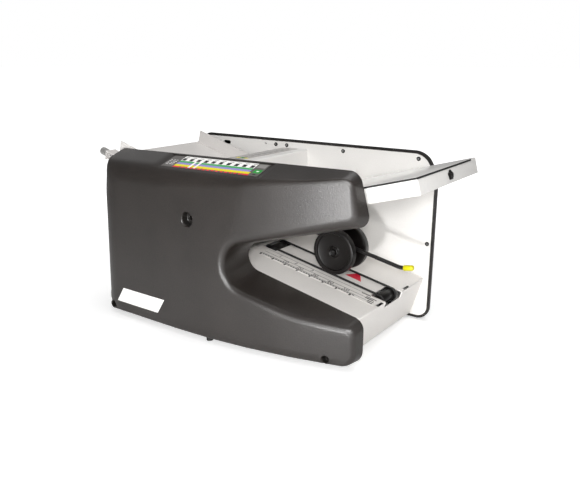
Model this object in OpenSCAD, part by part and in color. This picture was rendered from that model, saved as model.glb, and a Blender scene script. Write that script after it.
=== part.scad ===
// Tabletop paper folding machine: sheets slide down a sloping feed table, are folded in two
// buckle plates and leave on a belt conveyor under two stacker wheels.
// +X runs from the fold tables to the feed and delivery end, +Y from the bitten cover to the
// plain one, +Z up. The origin is on the floor, under the middle of the whole machine.

/* [Frame] */
// Clear width between the two side plates
inner_w = 244.8; // [236:0.2:256]
// Thickness of the side plates and the base plate
plate_t = 2.5; // [2:0.1:3]
// Thickness of the bent sheet pieces
sheet_t = 1.5; // [1:0.1:2]
// Diameter of the cross bars
bar_d = 10; // [8:0.5:11]
// Height of the base plate above the floor
base_z = 12; // [12:0.5:16]
// Diameter of the rubber feet
foot_d = 26; // [18:1:34]

/* [Covers] */
// How far each cover stands out from its side plate
cover_depth = 75; // [70:1:85]
// Wall thickness of the covers
cover_wall = 3; // [2.5:0.1:3.5]
// Height of the covers' lower edge above the floor
cover_gap = 6.5; // [5:0.5:8]
// Distance from the machine's middle to the covers' blind end
body_left = 281; // [276:1:290]
// Distance from the machine's middle to the end of the lower arm
lower_arm = 277; // [274:1:282]
// Distance from the machine's middle to the lower corner of the upper arm
upper_arm = 284; // [280:1:290]
// Distance from the machine's middle to the top corner of the upper arm
upper_arm_top = 262; // [250:1:268]
// How far the bitten cover's blind end leans in at its top
blind_lean = 9; // [4:0.5:16]
// Height over which it leans in
blind_lean_h = 60; // [40:1:80]
// Height of the bitten cover's rim at the blind end
rim_left_z = 316; // [314:0.5:318]
// Height of the bitten cover's rim at the arm's end
rim_right_z = 323; // [321:0.5:326]
// Slope of the covers' top faces
top_slope = 19; // [15:0.5:22]
// Radius between a cover's top face and its front
shoulder_r = 42; // [30:1:46]
// Lean of the bitten cover's front
front_lean = 2.6; // [1:0.1:4]
// Plan radius at the blind end
blind_end_r = 50; // [30:1:55]
// Radius of the front's bow
bow_r = 1150; // [1000:10:1400]
// Place along the front where the bow starts
bow_x = -80; // [-110:1:-70]
// Radius of the bite's round end
bite_r = 26.6; // [22:0.2:28]
// Rise of the bite's upper edge
bite_rise = 15.8; // [15:0.1:16.5]

/* [Plain side] */
// Distance from the machine's middle to the panel's feed end
panel_right = 280; // [276:1:284]
// Distance from the machine's middle to the panel's blind end
panel_left = 276; // [272:1:280]
// Height of the panel's top edge
panel_top = 321; // [319:0.5:326]
// Height of the sloping part of the panel's upper corner at the feed end
panel_corner_h = 39; // [37:1:45]
// Width of that sloping part
panel_corner_w = 23; // [20:1:24]
// Radius at the top of that sloping part
panel_corner_r = 36; // [20:1:37]
// Radius at the foot of that sloping part
panel_shoulder_r = 78; // [40:1:79]

/* [Feed] */
// Slope of the feed table
feed_slope = 15.5; // [15:0.1:16]
// Length of the feed table along its slope
feed_len = 336; // [320:1:350]
// Gap between the feed table and the near side plate
feed_gap_near = 7.4; // [6.5:0.1:9]
// Gap between the feed table and the far side plate
feed_gap_far = 2.4; // [2:0.1:7]
// Depth of the feed table's flanges
feed_flange = 27; // [24:0.5:30]
// Radius of the feed roller
feed_r = 16; // [15:0.1:16.2]
// Width of the feed table that the paper guides take from the sheet
guide_margin = 19; // [15:1:27]
// Height of the paper guides
guide_h = 20; // [10:1:25]
// Height of the feed head's top face
head_top = 307; // [300:0.5:310]

/* [Folding] */
// Radius of the fold rollers
fold_r = 14; // [13:0.1:14]
// Running gap in each nip
nip = 0.4; // [0.3:0.1:0.8]
// Radius of the roller shafts
shaft_r = 4; // [3:0.1:4.5]
// Slope of the upper fold table
upper_slope = 16.4; // [16:0.1:17]
// Length of the upper fold table along its slope
upper_len = 226; // [215:1:228]
// Height of the upper fold table's flanges
upper_flange = 26; // [20:1:29]
// Reach of the upper fold table past the foot of its rod's bracket
upper_ahead = 6; // [2:0.5:9]
// Gap between the two sheets of a fold table
fold_gap = 6; // [5:0.5:7]
// Slope of the lower fold table
lower_slope = 30; // [29:0.5:31]
// Length of the lower fold table along its slope
lower_len = 190; // [170:1:195]

/* [Delivery] */
// Slope of the delivery tray
tray_slope = 11.5; // [11:0.1:12]
// Distance from the machine's middle to the tray's upper edge
tray_end_x = 269; // [266:0.5:271]
// Height of the tray's upper edge
tray_end_z = 86; // [84:0.5:90]
// How far the tray's end face leans back under its edge
tray_lean = 25; // [15:1:30]
// Diameter of the round conveyor belts
cord_d = 4; // [3:0.1:5]
// Distance of each conveyor belt from the middle
belt_y = 22.5; // [18:0.5:26]
// Groove radius of the conveyor rollers
groove_r = 9; // [8:0.1:10]

/* [Stacker] */
// Radius of the stacker wheels
wheel_r = 41; // [36:0.5:43]
// Width of each stacker wheel
wheel_w = 14; // [10:0.5:16]
// Place of the wheels' axle along the tray, back from the tray's edge
wheel_back = 121.5; // [110:0.5:135]
// Diameter of the stacker rod
rod_d = 7; // [5:0.1:8]
// Height of the rod above the wheels' axle
rod_above = 10.5; // [9.5:0.1:12]
// Bend at the rod's free end
rod_bend = 22.5; // [0:0.5:30]

/* [Drive] */
// Teeth on each fold gear
gear_teeth = 20; // [16:4:24]
// Radius of the large drive pulley
drive_pulley_r = 30; // [24:0.5:34]
// Radius of the motor pulley
motor_pulley_r = 12; // [9:0.5:14]
// Radius of the motor
motor_r = 32; // [28:0.5:36]
// Length of the motor
motor_len = 88; // [70:1:95]
// Thickness of the flat drive belts
belt_t = 1.6; // [1:0.1:2]

/* [Hidden] */
$fn = 48;

// Clearances
running = 0.05;
loose = 0.3;
plate_fit = 1.5;
panel_fit = 0.4;

// Side planes: inner face of each plate, and the covers' fronts
hw = inner_w / 2;
plate_y = hw + plate_t;
front_y0 = hw + cover_depth;
beyond = 20;

// Plane geometry helpers
function unit(v) = v / norm(v);
function left_of(v) = [-v.y, v.x];
function along(a) = [cos(a), sin(a)];
function cross2(a, b) = a.x * b.y - a.y * b.x;
function xy(p) = [p.x, p.y];
function wrap(i, n) = (i + n) % n;
function turn(d) = d > 180 ? d - 360 : d < -180 ? d + 360 : d;
function reverse(p) = [for (i = [len(p) - 1 : -1 : 0]) p[i]];

// Arc that rounds the corner b between a and c
function corner_arc(a, b, c, r, n) =
  let (u = unit(a - b), v = unit(c - b), half = acos(u * v) / 2,
       o = b + unit(u + v) * r / sin(half), s = b + u * r / tan(half) - o,
       e = b + v * r / tan(half) - o, a0 = atan2(s.y, s.x),
       sweep = turn(atan2(e.y, e.x) - a0))
  [for (i = [0 : n]) o + r * along(a0 + sweep * i / n)];
// Outline whose corners [x, y, r] are each rounded to their own radius
function rounded(p, n = 8) = [for (i = [0 : len(p) - 1])
  let (k = len(p), a = xy(p[wrap(i - 1, k)]), b = xy(p[i]), c = xy(p[wrap(i + 1, k)]))
  each (p[i][2] <= 0 ? [b] : corner_arc(a, b, c, p[i][2], n))];
// The same corners with every side moved inwards by w, for an outline that runs anticlockwise
function inset(p, w) = [for (i = [0 : len(p) - 1])
  let (k = len(p), b = xy(p[i]), d0 = unit(b - xy(p[wrap(i - 1, k)])),
       d1 = unit(xy(p[wrap(i + 1, k)]) - b), n = unit(left_of(d0) + left_of(d1)),
       q = b + n * w / (n * left_of(d0)),
       r = p[i][2] == 0 ? 0 : max(0, cross2(d0, d1) > 0 ? p[i][2] - w : p[i][2] + w))
  [q.x, q.y, r]];
// Edge of a bent sheet, t to the left of its path
function ribbon_edge(p, t) = [for (i = [0 : len(p) - 1])
  let (last = len(p) - 1, d0 = unit(p[max(i, 1)] - p[max(i, 1) - 1]),
       d1 = unit(p[min(i, last - 1) + 1] - p[min(i, last - 1)]),
       n = unit(left_of(d0) + left_of(d1)))
  p[i] + n * t / (n * left_of(d0))];
function ribbon(p, t) = concat(p, reverse(ribbon_edge(p, t)));

// Extrusions of an XZ outline along Y and of a YZ outline along X
module slab_y(y0, y1) translate([0, y1, 0]) rotate([90, 0, 0]) linear_extrude(y1 - y0) children();
module slab_x(x0, x1) translate([x0, 0, 0]) rotate([90, 0, 90]) linear_extrude(x1 - x0) children();
// Round bar along Y at a place [x, z]
module bar_y(p, r, y0, y1) translate([p.x, y0, p.y]) rotate([-90, 0, 0]) cylinder(h = y1 - y0, r = r);
// Round piece along Y that steps through [radius, y] pairs
module stepped_y(p, steps)
  for (s = steps) bar_y(p, s[0], s[1], s[2]);
// Closed loop outline round two pulleys at p and q, from the outer tangents
module loop_2d(p, rp, q, rq) {
  d = q - p;
  lean = acos((rp - rq) / norm(d));
  a = atan2(d.y, d.x);
  translate(p) circle(rp);
  translate(q) circle(rq);
  polygon([p + rp * along(a + lean), p + rp * along(a - lean),
           q + rq * along(a - lean), q + rq * along(a + lean)]);
}
module belt_y(p, rp, q, rq, y0, y1) slab_y(y0, y1) difference() {
  loop_2d(p, rp + loose + belt_t, q, rq + loose + belt_t);
  loop_2d(p, rp + loose, q, rq + loose);
}

// Delivery tray plane: u runs down the slope from the tray's edge, w stands off the surface
function tray_at(u, w) = [tray_end_x, tray_end_z] + u * along(-tray_slope) + w * along(90 - tray_slope);
module on_tray() translate([tray_end_x, 0, tray_end_z]) rotate([0, tray_slope, 0]) children();
tray_len = (tray_end_x + 8) / cos(tray_slope);

// The bite: its lower edge is the tray's surface, its upper edge rises, and both run to one apex
bite_half = (bite_rise + tray_slope) / 2;
bite_tilt = (bite_rise - tray_slope) / 2;
bite_nose = [70, tray_at(-199 / cos(tray_slope), 0).y + bite_r / cos(tray_slope)];
bite_apex = bite_nose - bite_r / sin(bite_half) * along(bite_tilt);
lower_arm_z = bite_apex.y - (lower_arm - bite_apex.x) * tan(tray_slope);
upper_arm_z = bite_apex.y + (upper_arm - bite_apex.x) * tan(bite_rise);

// Cover outlines in XZ
rim_tilt = atan((rim_right_z - rim_left_z) / (upper_arm_top + body_left));
near_rim_z0 = rim_left_z + body_left * tan(rim_tilt);
near_outline = [[-body_left, cover_gap, 14], [lower_arm, cover_gap, 26], [lower_arm, lower_arm_z, 20],
  [bite_apex.x, bite_apex.y, bite_r], [upper_arm, upper_arm_z, 18],
  [upper_arm_top, rim_right_z, 26],
  [blind_lean - body_left, rim_left_z + blind_lean * tan(rim_tilt), 8],
  [-body_left, rim_left_z - blind_lean_h, 120]];
panel_outline = [[-panel_left, cover_gap, 22], [panel_right, cover_gap, 22],
  [panel_right, panel_top - panel_corner_h, panel_shoulder_r],
  [panel_right - panel_corner_w, panel_top, panel_corner_r], [-panel_left, panel_top, 12]];
far_rim = cover_wall + panel_fit;
far_outline = inset(panel_outline, -far_rim);
far_lip = 5;

// Plan of a cover, with the front towards -Y
function front_y(x) = -front_y0 + pow(max(0, x - bow_x), 2) / (2 * bow_r);
bow_end = 245;
bow_steps = 10;
function plan(left, right, lip) = concat(
  [[right, beyond - hw, 0], [-left, beyond - hw, 0], [-left, -front_y0, blind_end_r]],
  [for (i = [0 : bow_steps]) let (x = bow_x + (bow_end - bow_x) * i / bow_steps)
    [x, front_y(x), i == bow_steps ? 24 : 0]],
  [[right, -hw - lip, 0]]);
// Section of a cover through its top slope, whose front leans back from just outside the plan
front_out = 1;
function section(rim_z, lip, lean) = let (
    bottom_deep = cover_depth + front_out - lip,
    deep = (bottom_deep - (rim_z - cover_gap) * tan(lean)) / (1 - tan(top_slope) * tan(lean)))
  [[beyond - hw, -beyond, 0], [beyond - hw, rim_z, 0], [-hw - lip, rim_z, 0],
   [-hw - lip - deep, rim_z - deep * tan(top_slope), shoulder_r],
   [-front_y0 - front_out - (beyond + cover_gap) * tan(lean), -beyond, 0]];
module cover_form(outline, left, right, rim_z, tilt, lip, lean, w) intersection() {
  slab_y(-front_y0 - 2, w > 0 ? 1 - hw : -hw) polygon(rounded(inset(outline, w)));
  linear_extrude(400) polygon(rounded(inset(plan(left, right, lip), w)));
  rotate([0, -tilt, 0]) slab_x(-400, 400) polygon(rounded(inset(section(rim_z, lip, lean), w)));
}
near_right = upper_arm + 4;
module near_form(w) cover_form(near_outline, body_left, near_right, near_rim_z0, rim_tilt, 0,
  front_lean, w);
far_left = panel_left + far_rim;
far_right = panel_right + far_rim;
module far_form(w) mirror([0, 1, 0])
  cover_form(far_outline, far_left, far_right, panel_top + far_rim, 0, far_lip, 0, w);
// Frame on the near cover's top slope: -Y runs down the slope, +Z stands off it
module on_top_slope() translate([0, -hw, near_rim_z0]) rotate([0, -rim_tilt, 0])
  rotate([top_slope, 0, 0]) children();
// Frame on the near cover's leaning front: +Z runs up the front from its lower edge, -Y stands off it
module on_front() translate([0, -front_y0 - front_out, cover_gap]) rotate([-front_lean, 0, 0]) children();
function front_at(x, z) = max(front_y(x), (z - cover_gap) * tan(front_lean) - front_out - front_y0);

// Chart label on the top slope, and the blank badge on the front
chart_x = [-121, 98];
chart_s = [5, 46];
label_t = 0.4;
recess = 2;
pocket_edge = 4;
pocket_open = 8;
badge_low = 23;
badge_high = 51.5;
badge = [[-230, badge_low], [-118, badge_low], [-100, badge_high], [-212, badge_high]];

// Screws through the near cover into its side plate, [x, z], and the dished middle one
cover_screw_at = [[-39, 219], [227, 17], [-246, 17]];
dish_r = 15;
dish_floor_r = 11;
dish_deep = 12;
dish_y = front_at(cover_screw_at[0].x, cover_screw_at[0].y);
tube_r = 6;
tube_bore = 4.2;
screw_r = 2;
screw_head_r = 3.8;
screw_seat = 8;
// Screws through the plain panel into its cover, [x, z], and its two holes
panel_screw_at = [[-79, panel_top - 9], [-51, panel_top - 9], [85, panel_top - 10],
  [panel_right - 35.6, panel_top - 11], [panel_right - 9, 153.5], [14 - panel_left, cover_gap + 23.5],
  [200, cover_gap + 13.5]];
panel_head_r = 4;
panel_head_t = 2;
panel_post_r = 5;
panel_slot_at = [-214, panel_top - 14];
panel_slot_r = 4;
panel_slot_half = 6;
panel_dot_at = [-106, panel_top - 9];
panel_dot_r = 1.8;

// Feed table frame: u runs up the slope from the lower end, w stands off the surface
feed_origin = [26, 233];
function feed_at(u, w) = feed_origin + u * along(feed_slope) + w * along(90 + feed_slope);
module on_feed() translate([feed_origin.x, 0, feed_origin.y]) rotate([0, -feed_slope, 0]) children();
feed_w = inner_w - feed_gap_near - feed_gap_far;
feed_near = feed_gap_near - hw;
feed_far = hw - feed_gap_far;
paper_w = feed_w - guide_margin;
feed_bar_u = [47, 214];
feed_bar_w = -sheet_t - bar_d / 2;
guide_u = [15, 105];
guide_slot_u = 75;
guide_slot_w = 6.4;
guide_travel = 60;
guide_foot = 14;
feed_knob_y = 0;
feed_knob_w = -14;
feed_knob_r = 8.5;
feed_knob_out = 5;

// Rollers, all [x, z]
nip_d = 2 * fold_r + nip;
fold_b = [-52, 214.4];
fold_a_dir = 90 - upper_slope;
fold_c_dir = 190;
fold_d_dir = 260;
fold_a = fold_b + nip_d * along(fold_a_dir);
fold_c = fold_b + nip_d * along(fold_c_dir);
fold_d = fold_b + nip_d * along(fold_d_dir);
feed_c = [-6, 243];
roller_gap = 10.4;
roller_half = hw - roller_gap;
tyre_at = [-50, 0, 50];
tyre_w = 22;
feed_core_r = 9;
gear_y = [plate_y + 3.1, plate_y + 11.1];
shaft_far = gear_y[1] + 2.5;
pulley_y = [shaft_far + 1.5, shaft_far + 11.5];
belt_run_y = [-plate_y - 11.1, -plate_y - 4.1];
shaft_near = belt_run_y[0] - 1;
feed_pulley_r = [10.5, 13.5];
delivery_pulley_r = 9;
bush_r = 6.5;
bush_flange_r = 7.3;
bush_out = plate_y + 1.6;

// Upper fold table frame: u runs down the slope from the left end, w stands off the plate
upper_mouth = [-64.195, 238.691];
upper_origin = upper_mouth - upper_len * along(-upper_slope);
function upper_at(u, w) = upper_origin + u * along(-upper_slope) + w * along(90 - upper_slope);
module on_upper() translate([upper_origin.x, 0, upper_origin.y]) rotate([0, upper_slope, 0]) children();
upper_y = [4.4 - hw, hw - 16.4];
upper_flange_end = 12;
under_w = -sheet_t - fold_gap;
upper_bar_u = upper_len - 58;
rod_w = -19;
stop_rod_y = upper_y[0] + 9;
stop_rod_r = 3;
stop_u = 120;
stop_travel = 80;
stop_slot_w = 8;
stop_thick = 4;
stop_bar_y = [upper_y[0] + 4, upper_y[1] - 10];
knob_u = [-68, -48];
knob_r = 8;
lower_knob_r = 6.5;
bracket_u = -44;
bracket_w = 24;

// Lower fold table frame: u runs down and left from the rollers, w stands off its lower sheet
lower_origin = [-84, 182];
function lower_at(u, w) = lower_origin - u * along(lower_slope) + w * along(90 + lower_slope);
module on_lower() translate([lower_origin.x, 0, lower_origin.y]) rotate([0, -lower_slope, 0])
  mirror([1, 0, 0]) children();
lower_start = 8;
lower_stop_u = 140;
lower_stop_half = roller_half - 12;
lower_bar_u = [40, 150];
lower_rod_y = 40;
lower_rod_out = 242;
lower_knob_len = 13;
end_x = -272;
end_panel_z = [base_z + plate_t, upper_at((end_x + 2 - upper_origin.x) / cos(upper_slope)
  - (under_w - sheet_t) * tan(upper_slope), under_w - sheet_t).y];
end_notch = 28;
vent_y = 27.4 - hw;
vent_len = 60;
vent_h = 5;
vent_z = 110;
vent_pitch = 14;

// Delivery conveyor and stacker, in the tray's frame
rear_u = -258;
front_u = -19;
cord_w = cord_d / 2 + loose;
cord_run_r = groove_r + loose + cord_d / 2;
roller_w = cord_w - cord_run_r;
rear_c = tray_at(rear_u, roller_w);
front_c = tray_at(front_u, roller_w);
conveyor_half = belt_y + 5;
front_half = belt_y + 7;
cheek_t = 2.5;
pocket_len = 30;
wheel_w0 = cord_d + 2 * loose + wheel_r;
wheel_c = tray_at(-wheel_back, wheel_w0);
rod_line_w = wheel_w0 + rod_above;
pivot_u = -248;
pivot_c = tray_at(pivot_u, rod_line_w);
rod_end_u = -1;
cap_len = 18;
cap_r = 5;
rod_y = 0;
wheel_gap = 31;
axle_r = 4;

// Motor and the drive belt's pulleys
motor_c = [-70, 54];
motor_y = [hw - 4.4 - motor_len, hw - 4.4];

// Switch and inlet in the plain cover's front, [x, z]
switch_c = [-130, 62];
inlet_c = [-190, 62];
switch_size = [22, 30];
inlet_size = [30, 26];
bezel_lip = 3;
rocker_tilt = 9;
rocker_size = [15, 22];
rocker_r = 2;
rocker_out = 7;
pivot_in = 6;

// Middle of the whole machine: along X from the feed table's knob to the stop's knob, along Y from
// the badge to the rocker's raised edge
x_max = feed_at(feed_len + feed_knob_out, feed_knob_w).x + feed_knob_r * sin(feed_slope);
x_min = upper_at(knob_u[0], rod_w).x - knob_r * sin(upper_slope);
x_mid = (x_max + x_min) / 2;
y_max = front_y0 - pivot_in + rocker_out * cos(rocker_tilt) + rocker_size.y / 2 * sin(rocker_tilt);
y_min = -front_y0 - front_out + badge_low * sin(front_lean) - label_t * cos(front_lean);
y_mid = (y_max + y_min) / 2;
module placed() translate([-x_mid, -y_mid, 0]) children();

base_right = 236;
foot_in_x = [42, 41];
foot_in_y = 30.4;
foot_at = [for (x = [end_x + foot_in_x[0], base_right - foot_in_x[1]], y = [foot_in_y - hw, hw - foot_in_y])
  [x, y]];
bumper_in = 15.4;
bumper_at = [-2, bumper_in - front_y0];
bumper_d = 12;

module base_plate() color("gainsboro") difference() {
  translate([end_x, -hw, base_z]) cube([base_right - end_x, inner_w, plate_t]);
  for (p = foot_at) translate([p.x, p.y, base_z - 1]) cylinder(h = plate_t + 2, r = 3 + running);
}

module feet() color("black") {
  for (p = foot_at) translate([p.x, p.y, 0]) {
    cylinder(h = base_z, r = foot_d / 2);
    cylinder(h = base_z + plate_t, r = 3);
  }
  translate([bumper_at.x, bumper_at.y, 0]) cylinder(h = cover_gap, r = bumper_d / 2);
}

// Holes that both side plates share: bushes of the rollers
bush_at = [fold_a, fold_b, fold_c, fold_d, feed_c, rear_c];
module bush_holes() for (p = bush_at) bar_y(p, bush_r + running, -plate_y - 1, plate_y + 1);

module near_side_plate() color("whitesmoke") difference() {
  slab_y(-plate_y, -hw) polygon(rounded(inset(near_outline, cover_wall + plate_fit)));
  bush_holes();
  for (p = cover_screw_at) bar_y(p, screw_r + running, -plate_y - 1, -hw + 1);
}

module far_side_plate() color("white") difference() {
  slab_y(hw, plate_y) polygon(rounded(panel_outline));
  bush_holes();
  for (p = panel_screw_at) bar_y(p, screw_r + running, hw - 1, plate_y + 1);
  bar_y(panel_dot_at, panel_dot_r, hw - 1, plate_y + 1);
  for (dx = [-panel_slot_half, panel_slot_half])
    bar_y(panel_slot_at + [dx, 0], panel_slot_r, hw - 1, plate_y + 1);
  translate([panel_slot_at.x - panel_slot_half, hw - 1, panel_slot_at.y - panel_slot_r])
    cube([2 * panel_slot_half, plate_t + 2, 2 * panel_slot_r]);
  bar_y(motor_c, 7, hw - 1, plate_y + 1);
}

// Block round the chart's place on the top slope, from a depth on it and open towards the front
module chart_pocket(edge, start, low, tall) on_top_slope()
  translate([chart_x[0] - edge, -chart_s[1] - pocket_open, low])
  cube([chart_x[1] - chart_x[0] + 2 * edge, chart_s[1] + pocket_open - start, tall]);
// Depth at which the pocket's backing clears the side plate
backing_s = (plate_t + loose + (recess + cover_wall) * sin(top_slope)) / cos(top_slope);

module near_cover() color("dimgray") difference() {
  union() {
    difference() {
      near_form(0);
      near_form(cover_wall);
    }
    intersection() {
      near_form(0);
      union() {
        for (p = cover_screw_at) bar_y(p, tube_r, -front_y0, -plate_y);
        bar_y(cover_screw_at[0], dish_r + cover_wall, -front_y0, dish_y + dish_deep + cover_wall);
        chart_pocket(pocket_edge, backing_s, -recess - cover_wall, cover_wall);
      }
    }
  }
  for (p = cover_screw_at) {
    bar_y(p, tube_bore, -front_y0 - 2, -plate_y - screw_seat);
    bar_y(p, screw_r + running, -front_y0, -plate_y + 1);
  }
  translate([cover_screw_at[0].x, dish_y - 1, cover_screw_at[0].y]) rotate([-90, 0, 0])
    cylinder(h = dish_deep + 1, r1 = dish_r, r2 = dish_floor_r);
  chart_pocket(1, chart_s[0] - 1, -recess, recess + 5);
}

module chart_label() color("lightgreen") on_top_slope() translate([chart_x[0], -chart_s[1], -recess])
  cube([chart_x[1] - chart_x[0], chart_s[1] - chart_s[0], label_t]);

module badge_plate() color("white") on_front() slab_y(-label_t, 0) polygon(badge);

module cover_screws() color("black") for (p = cover_screw_at) {
  bar_y(p, screw_r, -plate_y - screw_seat, -hw + 3);
  bar_y(p, screw_head_r, -plate_y - screw_seat - 3, -plate_y - screw_seat);
}

module switch_hole(c, size) translate([c.x - size.x / 2, front_y0 - 20, c.y - size.y / 2])
  cube([size.x, 30, size.y]);

module far_cover() color("dimgray") difference() {
  union() {
    difference() {
      far_form(0);
      far_form(cover_wall);
    }
    intersection() {
      far_form(0);
      for (p = panel_screw_at) bar_y(p, panel_post_r, plate_y, front_y0);
    }
  }
  for (p = panel_screw_at) bar_y(p, screw_r + running, plate_y - 1, plate_y + 14);
  switch_hole(switch_c, switch_size);
  switch_hole(inlet_c, inlet_size);
}

module panel_screws() color("silver") for (p = panel_screw_at) {
  bar_y(p, panel_head_r, hw - panel_head_t, hw);
  bar_y(p, screw_r, hw - panel_head_t, plate_y + 12);
}

module end_panel() color("whitesmoke") difference() {
  translate([end_x, -hw, end_panel_z[0]]) cube([2, inner_w, end_panel_z[1] - end_panel_z[0]]);
  rod_z = lower_at((lower_origin.x - end_x) / cos(lower_slope), 0).y + fold_gap / 2;
  translate([end_x + 1, lower_rod_y, rod_z]) rotate([0, -lower_slope, 0]) rotate([0, 90, 0])
    cylinder(h = 30, r = stop_rod_r + 1.5, center = true);
  translate([end_x - 1, -hw - 1, end_panel_z[1] - end_notch])
    cube([4, stop_rod_y + bracket_w / 2 + hw + 4, end_notch + 1]);
  for (k = [0 : 5]) translate([end_x - 1, vent_y, vent_z + vent_pitch * k]) cube([4, vent_len, vent_h]);
}

bar_at = [feed_at(feed_bar_u[0], feed_bar_w), feed_at(feed_bar_u[1], feed_bar_w),
  upper_at(upper_bar_u, under_w - sheet_t - bar_d / 2), pivot_c,
  lower_at(lower_bar_u[0], -sheet_t - bar_d / 2), lower_at(lower_bar_u[1], -sheet_t - bar_d / 2)];
module tie_bars() color("silver") for (p = bar_at) bar_y(p, bar_d / 2, -hw, hw);

guide_stud_in = 7;
guide_slot_y = paper_w / 2 - guide_stud_in + guide_slot_w / 2 + 0.5;
module guide_slots() for (side = [0, 1]) mirror([0, side, 0])
  translate([guide_slot_u - guide_slot_w / 2, -guide_slot_y, -sheet_t - 1])
    cube([guide_slot_w, guide_travel + guide_slot_w + 1, 10]);
module feed_table() color("white") difference() {
  on_feed() difference() {
    translate([0, feed_near, -feed_flange]) cube([feed_len, feed_w, feed_flange]);
    translate([-1, feed_near + sheet_t, -feed_flange - 1])
      cube([feed_len + 1 - sheet_t, feed_w - 2 * sheet_t, feed_flange + 1 - sheet_t]);
    guide_slots();
    translate([feed_len - 5, feed_knob_y, feed_knob_w]) rotate([0, 90, 0])
      cylinder(h = 10, r = 2.5 + running);
  }
  for (u = feed_bar_u) bar_y(feed_at(u, feed_bar_w), bar_d / 2 + running, feed_near - 1, feed_far + 1);
}

trim_t = 0.8;
trim_h = 3;
module feed_table_trim() color("black") difference() {
  on_feed() difference() {
    translate([8, feed_near - trim_t, -trim_h - 0.4])
      cube([feed_len - 8 + trim_t, feed_w - 24 + trim_t, trim_h]);
    translate([0, feed_near, -trim_h - 1]) cube([feed_len, feed_w, trim_h + 2]);
  }
  for (u = feed_bar_u) bar_y(feed_at(u, feed_bar_w), bar_d / 2 + running, feed_near - 2, feed_near + 2);
}

module feed_table_knob() color("black") on_feed() translate([feed_len, feed_knob_y, feed_knob_w])
  rotate([0, 90, 0]) {
    translate([0, 0, loose]) cylinder(h = feed_knob_out - loose, r = feed_knob_r);
    translate([0, 0, -8]) cylinder(h = 9, r = 2.5);
    translate([0, 0, -8]) cylinder(h = 8 - sheet_t - loose, r = 4.5);
  }

// Angle guide with its stud through the table's cross slot; side is -1 near, 1 far
module paper_guide(side) on_feed() {
  wall_y = side * paper_w / 2;
  seat = 0.2;
  translate([guide_u[0], min(wall_y, wall_y + side * sheet_t), seat])
    cube([guide_u[1] - guide_u[0], sheet_t, guide_h]);
  translate([guide_u[0], side < 0 ? wall_y : wall_y - guide_foot, seat])
    cube([guide_u[1] - guide_u[0], guide_foot, sheet_t]);
  translate([guide_slot_u, wall_y - side * guide_stud_in, -sheet_t - seat - 3]) {
    cylinder(h = sheet_t + 3 + 2 * seat, r = guide_slot_w / 2 - 0.1);
    cylinder(h = 3, r = 6);
  }
}
module near_paper_guide() color("gainsboro") paper_guide(-1);
module far_paper_guide() color("gainsboro") paper_guide(1);

head_path = [[14, 252], [1, 270], [1, head_top], [-56, head_top], [-66, 258]];
module feed_head_cover() color("white") slab_y(-hw, hw) polygon(ribbon(head_path, sheet_t));
strip_t = 0.8;
strip_x = [-54, -20];
strip_y = [10.4 - hw, hw - 6.4];
module feed_scale_strip() color("gray") translate([strip_x[0], strip_y[0], head_top])
  cube([strip_x[1] - strip_x[0], strip_y[1] - strip_y[0], strip_t]);

// Shaft from the near belt to the far gear, turning in both bushes
module roller_shaft(p) bar_y(p, shaft_r, shaft_near, shaft_far);
module feed_roller_shaft() color("silver") {
  roller_shaft(feed_c);
  bar_y(feed_c, feed_core_r, -roller_half, roller_half);
  bar_y(feed_c, feed_pulley_r[1], belt_run_y[0], belt_run_y[1]);
}
module feed_roller_tyres() color("black") for (y = tyre_at) difference() {
  bar_y(feed_c, feed_r, y - tyre_w / 2, y + tyre_w / 2);
  bar_y(feed_c, feed_core_r + 0.02, y - tyre_w, y + tyre_w);
}
pad_top = 0.6;
pad_t = 3;
module separator_pad() color("brown") translate([feed_c.x, 0, feed_c.y]) rotate([0, -feed_slope, 0])
  translate([-8, -25, -feed_r - pad_top - pad_t]) cube([16, 50, pad_t]);
module separator_bracket() color("silver") translate([feed_c.x, 0, feed_c.y]) rotate([0, -feed_slope, 0])
  translate([-14, -hw, -feed_r - pad_top - pad_t - 2]) cube([38, inner_w, 2]);

module upper_fold_plate() color("lightgray") on_upper() {
  translate([-upper_ahead, upper_y[0], -sheet_t])
    cube([upper_len + upper_ahead, upper_y[1] - upper_y[0], sheet_t]);
  for (y = [upper_y[0], upper_y[1] - sheet_t]) translate([-upper_ahead, y, -sheet_t])
    cube([upper_len + upper_ahead - upper_flange_end, sheet_t, upper_flange + sheet_t]);
}
module upper_fold_under_plate() color("gray") on_upper() difference() {
  union() {
    translate([-upper_ahead, upper_y[0], under_w - sheet_t])
      cube([upper_len + upper_ahead, upper_y[1] - upper_y[0], sheet_t]);
    for (y = [upper_y[0], upper_y[1] - sheet_t]) translate([-upper_ahead, y, under_w])
      cube([upper_len + upper_ahead, sheet_t, fold_gap]);
  }
  translate([stop_u - stop_travel - 6, stop_rod_y - stop_slot_w / 2, under_w - sheet_t - 1])
    cube([stop_travel + 16, stop_slot_w, sheet_t + 2]);
}
module fold_rod_bracket() color("white") on_upper() difference() {
  translate([0, stop_rod_y - bracket_w / 2, 0]) {
    translate([bracket_u, 0, under_w - sheet_t - 2]) cube([24 - bracket_u, bracket_w, 2]);
    translate([bracket_u, 0, rod_w - 9]) cube([2, bracket_w, under_w - sheet_t - rod_w + 9]);
  }
  translate([bracket_u - 1, stop_rod_y, rod_w]) rotate([0, 90, 0])
    cylinder(h = 4, r = stop_rod_r + running);
}
module upper_fold_stop() color("silver") on_upper() {
  translate([knob_u[0] + 4, stop_rod_y, rod_w]) rotate([0, 90, 0])
    cylinder(h = stop_u - knob_u[0], r = stop_rod_r);
  translate([stop_u, stop_rod_y - 3, rod_w]) cube([6, 6, under_w + 1 - rod_w + stop_thick]);
  translate([stop_u, stop_bar_y[0], under_w + 1])
    cube([stop_thick, stop_bar_y[1] - stop_bar_y[0], stop_thick]);
}
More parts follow.
